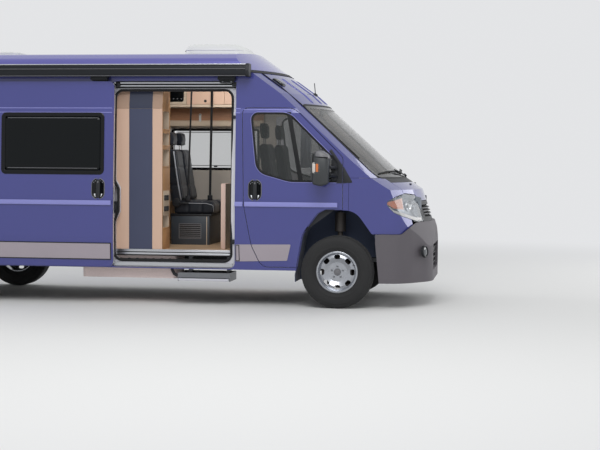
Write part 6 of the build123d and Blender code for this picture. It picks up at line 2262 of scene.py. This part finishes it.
@dataclass
class Front:
    """Screen border, wipers, grille slats, bumper fittings and blank plate of the nose."""

    bumper_proud: float = 0.027
    fit: float = 0.0005

    def build(self) -> None:
        """Build the pieces of the nose."""
        self.screen()
        self.wipers()
        self.grille()
        self.bumper()
        self.bonnet()

    def screen(self) -> None:
        """Build the black border of the windscreen and its outer rubber."""
        corners = [(-0.880, 1.335, 0.07), (0.880, 1.335, 0.07), (0.818, 2.078, 0.07), (-0.818, 2.078, 0.07)]
        outline = []
        for (u, v), (u_next, v_next) in self.pairs(rounded(corners, 6)):
            cuts = max(1, round(math.hypot(u_next - u, v_next - v) / 0.12))
            outline += [(u + (u_next - u) * cut / cuts, v + (v_next - v) * cut / cuts) for cut in range(cuts)]
        frit = Shape()
        frit.trim(outline, [(-0.002, 0.0005), (-0.002, 0.0016), (-0.034, 0.0016), (-0.034, 0.0005)], SCREEN)
        frit.piece("screen_frit", FRIT, "glass")
        rubber = Shape()
        rubber.trim(outline, [(0.012, 0.0006), (0.010, 0.004), (0.0, 0.005), (-0.006, 0.003),
                              (-0.004, 0.0008)], SCREEN)
        rubber.piece("screen_rubber", EPDM, "seal_rubber")

    @staticmethod
    def pairs(points: Sequence[tuple[float, float]]) -> Iterable[tuple[tuple[float, float],
                                                                       tuple[float, float]]]:
        """Pair each point of a closed outline with the next."""
        return zip(points, [*points[1:], points[0]])

    def wipers(self) -> None:
        """Build both wipers, parked along the foot of the screen."""
        arms = Shape()
        blades = Shape()
        lift = (0.67, 0, 0.74)
        for foot, tip in ((0.640, 0.075), (-0.020, -0.640)):
            base = SCREEN(foot, 1.345, 0.016)
            elbow = SCREEN(foot + (tip - foot) * 0.5, 1.385, 0.030)
            hold = SCREEN((foot + tip) / 2 - 0.02, 1.398, 0.022)
            arms.tube([base, base + (elbow - base) * 0.4, elbow, hold], flat_section(0.018, 0.009), up=lift)
            arms.turned([(0.020, -0.010), (0.020, 0.006), (0.014, 0.012)], base, lift, 20)
            run = [SCREEN(foot - 0.06 + (tip - foot - 0.10) * share, 1.372 + 0.022
                          * math.sin(math.pi * share), 0.010) for share in (0.0, 0.15, 0.3, 0.45, 0.6, 0.75,
                                                                            0.9, 1.0)]
            blades.tube(run, rounded([(-0.007, -0.008, 0.002), (0.007, -0.008, 0.002), (0.004, 0.008, 0.003),
                                      (-0.004, 0.008, 0.003)], 2), up=lift)
        arms.piece("wiper_arms", BLACK_ABS, "black_plastic")
        blades.piece("wiper_blades", EPDM, "seal_rubber")

    def grille(self) -> None:
        """Build the upright slats behind the grille's bars, and the polished edges on the bars."""
        slats = Shape()
        for step in range(31):
            y = -0.390 + step * 0.026
            slats.tube([NOSE(y, 0.930, -0.030), NOSE(y, 1.046, -0.030)], flat_section(0.004, 0.012),
                       up=(0, 1, 0))
        slats.piece("grille_slats", BLACK_ABS, "black_plastic")
        edges = Shape()
        for z in (0.947, 0.978, 1.009):
            run = [NOSE(-0.396 + 0.072 * step, z + 0.006, 0.0046) for step in range(12)]
            edges.tube(run, flat_section(0.008, 0.0016), up=(0.95, 0, 0.31))
        edges.piece("grille_bar_edges", GREY_ABS, "black_plastic")

    def bumper(self) -> None:
        """Build the fog lamps and the blank plate in its holder."""
        lamps = Shape()
        rims = Shape()
        for side in (-1, 1):
            lean = Vector((1.0, side * 0.42, 0.10))
            spot = NOSE(side * 0.740, 0.575, 0.020)
            rims.turned([(0.062, -0.012), (0.062, 0.010), (0.056, 0.015), (0.047, 0.012), (0.046, 0.004),
                         (0.010, 0.003)], spot, lean, 36)
            lamps.turned([(0.044, 0.003), (0.044, 0.007), (0.030, 0.011), (0.004, 0.013)], spot, lean, 32)
        rims.piece("fog_lamp_rims", BLACK_ABS, "black_plastic")
        lamps.piece("fog_lamp_lenses", LENS_EYE, "lamp_lens")
        holder = Shape()
        sheet = Shape()
        place = Upright(NOSE.x + self.bumper_proud + self.fit, 1)
        holder.plate(rectangle(-0.268, 0.672, 0.268, 0.792, 0.012, 4),
                     [(0.0, -0.030), (0.0, -0.004), (-0.003, -0.001)], place)
        sheet.plate(rectangle(-0.260, 0.677, 0.260, 0.787, 0.010, 4),
                    [(0.0, -0.002), (0.0, 0.0002), (-0.004, 0.0002), (-0.006, -0.0004)], place)
        holder.piece("front_plate_holder", BLACK_ABS, "black_plastic")
        sheet.piece("front_plate_blank", PLATE_SHEET, "white_plastic")

    def bonnet(self) -> None:
        """Build the washer nozzles on the bonnet."""
        nozzles = Shape()
        for y in (-0.330, 0.330):
            spot = HOOD(y, 1.262, 0.0)
            nozzles.block((spot.x - 0.014, y - 0.012, spot.z - 0.004),
                          (spot.x + 0.010, y + 0.012, spot.z + 0.012), 0.004)
        nozzles.piece("washer_nozzles", BLACK_ABS, "black_plastic", "bonnet")


@dataclass
class Rear:
    """Lamps, door fittings, plate and bumper pad of the tail."""

    face: float = -2.960
    bumper_face: float = -2.999

    def build(self) -> None:
        """Build the pieces of the tail."""
        self.doors()
        self.fittings()
        self.bumper()

    def doors(self) -> None:
        """Build the rubbers of both panes, the pressed fields under them and the handle."""
        place = Upright(self.face, -1)
        for name, side in SIDES.items():
            body = "rear_door_" + name
            low, high = sorted((side * 0.150, side * 0.790))
            outline = rectangle(low, 1.420, high, 2.000, 0.050, 6)
            rubber = Shape()
            rubber.trim(outline, [(0.012, 0.0005), (0.010, 0.004), (0.0, 0.005), (-0.010, 0.002),
                                  (-0.008, -0.006), (0.0, -0.006)], place)
            rubber.piece("rear_window_rubber_" + name, EPDM, "seal_rubber", body)
            press = Shape()
            low, high = sorted((side * 0.090, side * 0.850))
            press.trim(rectangle(low, 0.960, high, 1.330, 0.060, 6),
                       [(0.006, 0.0004), (0.0, 0.0025), (-0.006, 0.0004)], place)
            press.piece("rear_door_pressing_" + name, LIGHTENED_TRIM_PAINT, "body_paint", body)
        handle = Shape()
        handle.plate(rectangle(-0.175, 1.055, -0.035, 1.175, 0.045, 5),
                     [(0.004, 0.0006), (0.004, 0.003), (-0.002, 0.005), (-0.012, -0.004), (-0.030, -0.012)],
                     place)
        handle.piece("rear_handle_bowl", GLOSS_ABS, "black_plastic", "rear_door_right", crease=60)
        grip = Shape()
        grip.plate(rectangle(-0.165, 1.098, -0.045, 1.136, 0.015, 4),
                   [(0.0, -0.008), (0.001, 0.006), (-0.006, 0.013)], place)
        grip.piece("rear_handle_grip", BLACK_ABS, "black_plastic", "rear_door_right", crease=60)

    def fittings(self) -> None:
        """Build the raised stop lamp, the blank plate and its lamp."""
        place = Upright(self.face, -1)
        stop = Shape()
        stop.plate(rectangle(-0.150, 2.372, 0.150, 2.402, 0.010, 4),
                   [(0.0, 0.0005), (0.0, 0.010), (-0.006, 0.016)], place)
        stop.piece("raised_stop_lamp", RED_LENS, "lamp_lens")
        sheet = Shape()
        sheet.plate(rectangle(0.130, 0.740, 0.650, 0.850, 0.010, 4),
                    [(0.0, 0.0006), (0.0, 0.0030), (-0.004, 0.0030), (-0.006, 0.0022)], place)
        sheet.piece("rear_plate_blank", PLATE_SHEET, "white_plastic", "rear_door_left")
        lamp = Shape()
        lamp.plate(rectangle(0.270, 0.868, 0.510, 0.896, 0.008, 4),
                   [(0.0, 0.0006), (0.0, 0.014), (-0.006, 0.020)], place)
        lamp.piece("plate_lamp", BLACK_ABS, "black_plastic", "rear_door_left")

    def bumper(self) -> None:
        """Build the ribbed step pad, the reflectors and the sensors of the bumper."""
        pad = Shape()
        for step in range(5):
            x = -2.985 + step * 0.0145
            half = 0.900 - (0.030 if step == 0 else 0.0)
            pad.block((x, -half, 0.4795), (x + 0.006, half, 0.4825), 0.0012, 1)
        pad.piece("rear_step_ribs", EPDM, "black_plastic")
        place = Upright(self.bumper_face, -1)
        glints = Shape()
        eyes = Shape()
        for side in (-1, 1):
            low, high = sorted((side * 0.660, side * 0.790))
            glints.plate(rectangle(low, 0.395, high, 0.430, 0.006, 3),
                         [(0.0, -0.006), (0.0, -0.0008), (-0.003, 0.0)], place)
            for y in (0.250, 0.560):
                eyes.turned([(0.011, -0.004), (0.011, -0.0005), (0.008, 0.0)],
                            (self.bumper_face, side * y, 0.412), (-1, 0, 0), 20)
        glints.piece("rear_reflectors", RED_LENS, "lamp_lens")
        eyes.piece("rear_sensors", BLACK_ABS, "black_plastic")


@dataclass
class FlankLines:
    """Pressed lines and rub rails in lighter enamel as painted highlight, and the small lids on the flanks.
    """

    low: float = 1.990
    high: float = 2.036

    def build(self) -> None:
        """Build the lines of both flanks, the sliding door and the front doors."""
        right, left = Flank(-1), Flank(1)
        slid = Flank(-1, SLIDE_BACK, SLIDE_OUT)
        fixed = ((right, ((-2.890, -1.640), (0.985, 1.040))), (left, ((-2.890, 1.040),)),
                 (slid, ((-0.306, 0.966),)))
        lines = Shape()
        rails = Shape()
        for place, spans in fixed:
            for start, end in spans:
                for z in (self.low, self.high):
                    self.run(lines, place, start, end, z, 0.0030, 0.0045)
        for place, start, end in ((right, -2.890, -2.440), (left, -2.890, -2.440), (left, -1.530, 1.074),
                                  (slid, -0.306, 0.966), (right, 0.992, 1.074)):
            self.rail(rails, place, start, end)
        # The lines and rails are real shapes; their lighter enamel is painted highlight
        lines.piece("flank_press_lines", HIGHLIGHT_PAINT, "body_paint", crease=50)
        rails.piece("flank_rub_rails", HIGHLIGHT_PAINT, "body_paint", crease=50)
        for name, side in SIDES.items():
            lines, rails = Shape(), Shape()
            place = Flank(side)
            self.run(lines, place, 1.075, 1.560, self.low + 0.034, 0.0026, 0.0040)
            self.rail(rails, place, 1.0935, 2.050)
            lines.piece("door_press_line_" + name, HIGHLIGHT_PAINT, "body_paint", "front_door_" + name, crease=50)
            rails.piece("door_rub_rail_" + name, HIGHLIGHT_PAINT, "body_paint", "front_door_" + name, crease=50)
        self.lids(left)

    @staticmethod
    def run(shape: Shape, place: Flank, start: float, end: float, z: float, proud: float,
            half: float) -> None:
        """Lay one low rounded line along a flank."""
        ring = [(-half, 0.0002), (-half * 0.4, proud), (half * 0.4, proud), (half, 0.0002)]
        stops = [start + (end - start) * step / 8 for step in range(9)]
        shape.solid([[place(x, z + v, proud) for v, proud in ring] for x in stops])

    @staticmethod
    def rail(shape: Shape, place: Flank, start: float, end: float) -> None:
        """Lay the bowed face of a rub rail along a flank."""
        ring = [(1.0318, 0.0121), (1.0340, 0.0150), (1.0400, 0.0160), (1.0700, 0.0138), (1.0805, 0.0124),
                (1.0812, 0.0), (1.0318, 0.0)]
        stops = [start + (end - start) * step / 8 for step in range(9)]
        shape.solid([[place(x, z, proud) for z, proud in ring] for x in stops])

    @staticmethod
    def lids(place: Flank) -> None:
        """Build the fuel flap and the water filler on the left flank."""
        flap = Shape()
        flap.plate(rectangle(0.760, 0.760, 0.930, 0.930, 0.030, 5),
                   [(0.0, 0.0006), (0.0, 0.0030), (-0.002, 0.0040)], place)
        flap.piece("fuel_flap", LIGHTENED_TRIM_PAINT, "body_paint")
        ring = Shape()
        ring.turned([(0.062, 0.0), (0.062, 0.006), (0.055, 0.010), (0.050, 0.006), (0.030, 0.008),
                     (0.004, 0.009)], place(-0.700, 0.900, 0.0), (0, 1, 0), 36)
        ring.block(*spread(place(-0.730, 0.893, 0.007), place(-0.670, 0.907, 0.016)), 0.005)
        ring.piece("water_filler", BLACK_ABS, "black_plastic")


# The body's enamel, lightened as a painted highlight on the rub rails, pressed lines and window lips
HIGHLIGHT_PAINT = Finish("metallic_enamel_painted_highlight", "#8385C8", Surface.SPRAYED, 0.30, pattern_mm=3, relief_mm=0.05,
                    shade=0.03, metallic=0.2, coat=1.0)


@dataclass
class Stage:
    """Floor, lights and camera of the picture."""

    camera_place: tuple[float, float, float] = (3.820, -15.385, 1.526)
    yaw: float = -8.505
    pitch: float = -2.663
    roll: float = 0.3997
    lens: float = 85.605
    backdrop: str = "#ECEDEF"
    backdrop_strength: float = 0.92
    sky_strength: float = 0.62
    floor_radius: float = 90.0
    fade: tuple[float, float] = (4.5, 13.0)

    def build(self) -> None:
        """Build the whole stage."""
        scene = bpy.context.scene
        scene.view_settings.view_transform = "Standard"
        self.floor()
        self.sky(scene)
        self.lamp("key", (2.5, -9.0, 8.5), 6.0, 620.0, (0.0, 0.0, 1.2))
        self.lamp("fill", (9.0, 5.0, 5.0), 6.0, 260.0, (0.0, 0.0, 1.2))
        self.lamp("rear", (-9.0, 2.0, 6.0), 6.0, 260.0, (0.0, 0.0, 1.2))
        self.lamp("cabin", (0.62, -0.25, 2.47), 0.6, 15.0, (0.30, 0.75, 1.70))
        self.camera(scene)

    def floor(self) -> None:
        """Build the pale floor, a wide disc of paper."""
        mesh = bmesh.new()
        bmesh.ops.create_circle(mesh, cap_ends=True, radius=self.floor_radius, segments=96)
        data = bpy.data.meshes.new("paper_floor")
        mesh.to_mesh(data)
        mesh.free()
        made = bpy.data.objects.new("paper_floor", data)
        bpy.context.scene.collection.objects.link(made)
        finish = bpy.data.materials.new("matt_paper")
        finish.use_nodes = True
        tree = finish.node_tree
        shader = tree.nodes["Principled BSDF"]
        shader.inputs["Base Color"].default_value = linear("#DEDEDC")
        shader.inputs["Roughness"].default_value = 0.95
        shader.inputs["Specular IOR Level"].default_value = 0.1
        spot = add_node(tree, "TexCoord")
        reach = add_node(tree, "VectorMath", {"operation": "LENGTH"}, {0: spot.outputs["Object"]})
        fade = add_node(tree, "MapRange", {"From Min": self.fade[0], "From Max": self.fade[1],
                                           "interpolation_type": "SMOOTHSTEP"},
                        {"Value": reach.outputs["Value"]})
        path = add_node(tree, "LightPath")
        shown = add_node(tree, "Math", {"operation": "MAXIMUM"},
                         {0: path.outputs["Is Camera Ray"], 1: path.outputs["Is Glossy Ray"]})
        both = add_node(tree, "Math", {"operation": "MULTIPLY"}, {0: fade.outputs[0], 1: shown.outputs[0]})
        paper = add_node(tree, "Emission",
                         {"Color": linear(self.backdrop), "Strength": self.backdrop_strength})
        mix = add_node(tree, "MixShader", {}, {0: both.outputs[0], 1: shader.outputs[0], 2: paper.outputs[0]})
        tree.links.new(mix.outputs[0], tree.nodes["Material Output"].inputs["Surface"])
        made.data.materials.append(finish)

    def sky(self, scene: bpy.types.Scene) -> None:
        """Light the scene evenly, and show a pale background to the eye, to mirrors and through glass."""
        world = bpy.data.worlds.new("studio")
        scene.world = world
        world.use_nodes = True
        tree = world.node_tree
        tree.nodes.clear()
        path = add_node(tree, "LightPath")
        seen = add_node(tree, "Math", {"operation": "MAXIMUM"},
                        {0: path.outputs["Is Camera Ray"], 1: path.outputs["Is Transmission Ray"]})
        shown = add_node(tree, "Math", {"operation": "MAXIMUM"},
                         {0: seen.outputs[0], 1: path.outputs["Is Glossy Ray"]})
        light = add_node(tree, "Background", {"Color": linear("#F1F3F7"), "Strength": self.sky_strength})
        backdrop = add_node(tree, "Background",
                            {"Color": linear(self.backdrop), "Strength": self.backdrop_strength})
        mix = add_node(tree, "MixShader", {},
                       {0: shown.outputs[0], 1: light.outputs[0], 2: backdrop.outputs[0]})
        add_node(tree, "OutputWorld", {}, {0: mix.outputs[0]})

    def lamp(self, name: str, place: tuple[float, float, float], size: float, power: float,
             target: tuple[float, float, float]) -> None:
        """Hang one soft square lamp that looks at a target."""
        data = bpy.data.lights.new(name, "AREA")
        data.size = size
        data.energy = power
        made = bpy.data.objects.new(name, data)
        made.location = place
        made.rotation_euler = (Vector(target) - Vector(place)).to_track_quat("-Z", "Y").to_euler()
        made.visible_camera = False
        made.visible_glossy = size > 1.0
        bpy.context.scene.collection.objects.link(made)

    def camera(self, scene: bpy.types.Scene) -> None:
        """Place the camera where the photograph was taken from."""
        yaw, pitch, roll = (math.radians(angle) for angle in (self.yaw, self.pitch, self.roll))
        ahead = Vector((math.sin(yaw) * math.cos(pitch), math.cos(yaw) * math.cos(pitch), math.sin(pitch)))
        right = Vector((math.cos(yaw), -math.sin(yaw), 0.0))
        up = right.cross(ahead)
        turned_right = right * math.cos(roll) + up * math.sin(roll)
        turned_up = up * math.cos(roll) - right * math.sin(roll)
        data = bpy.data.cameras.new("camera")
        data.sensor_width = 36.0
        data.lens = self.lens
        data.clip_end = 300.0
        made = bpy.data.objects.new("camera", data)
        axes = Matrix((turned_right, turned_up, -ahead)).transposed()
        made.matrix_world = Matrix.Translation(self.camera_place) @ axes.to_4x4()
        bpy.context.scene.collection.objects.link(made)
        scene.camera = made


def main() -> None:
    """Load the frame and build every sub-assembly in order."""
    logging.basicConfig(level=logging.INFO, format="%(message)s")
    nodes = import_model()["nodes"]
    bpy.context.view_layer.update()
    parts = (Bodywork(nodes), BodyWindows(), DoorWindows(), Handles(), Mirrors(), Doorway(), CladdingTrim(),
             Awning(), Roof(), EntranceStep(), Wheels(), EngineBay(), Headlamps(nodes), Front(), Rear(),
             FlankLines(), LivingShell(), TallCabinet(), Lockers(), Bench(), CabSeats(), Bed(), DashTrim(),
             Stage())
    for part in parts:
        part.build()


if __name__ == "__main__":
    main()
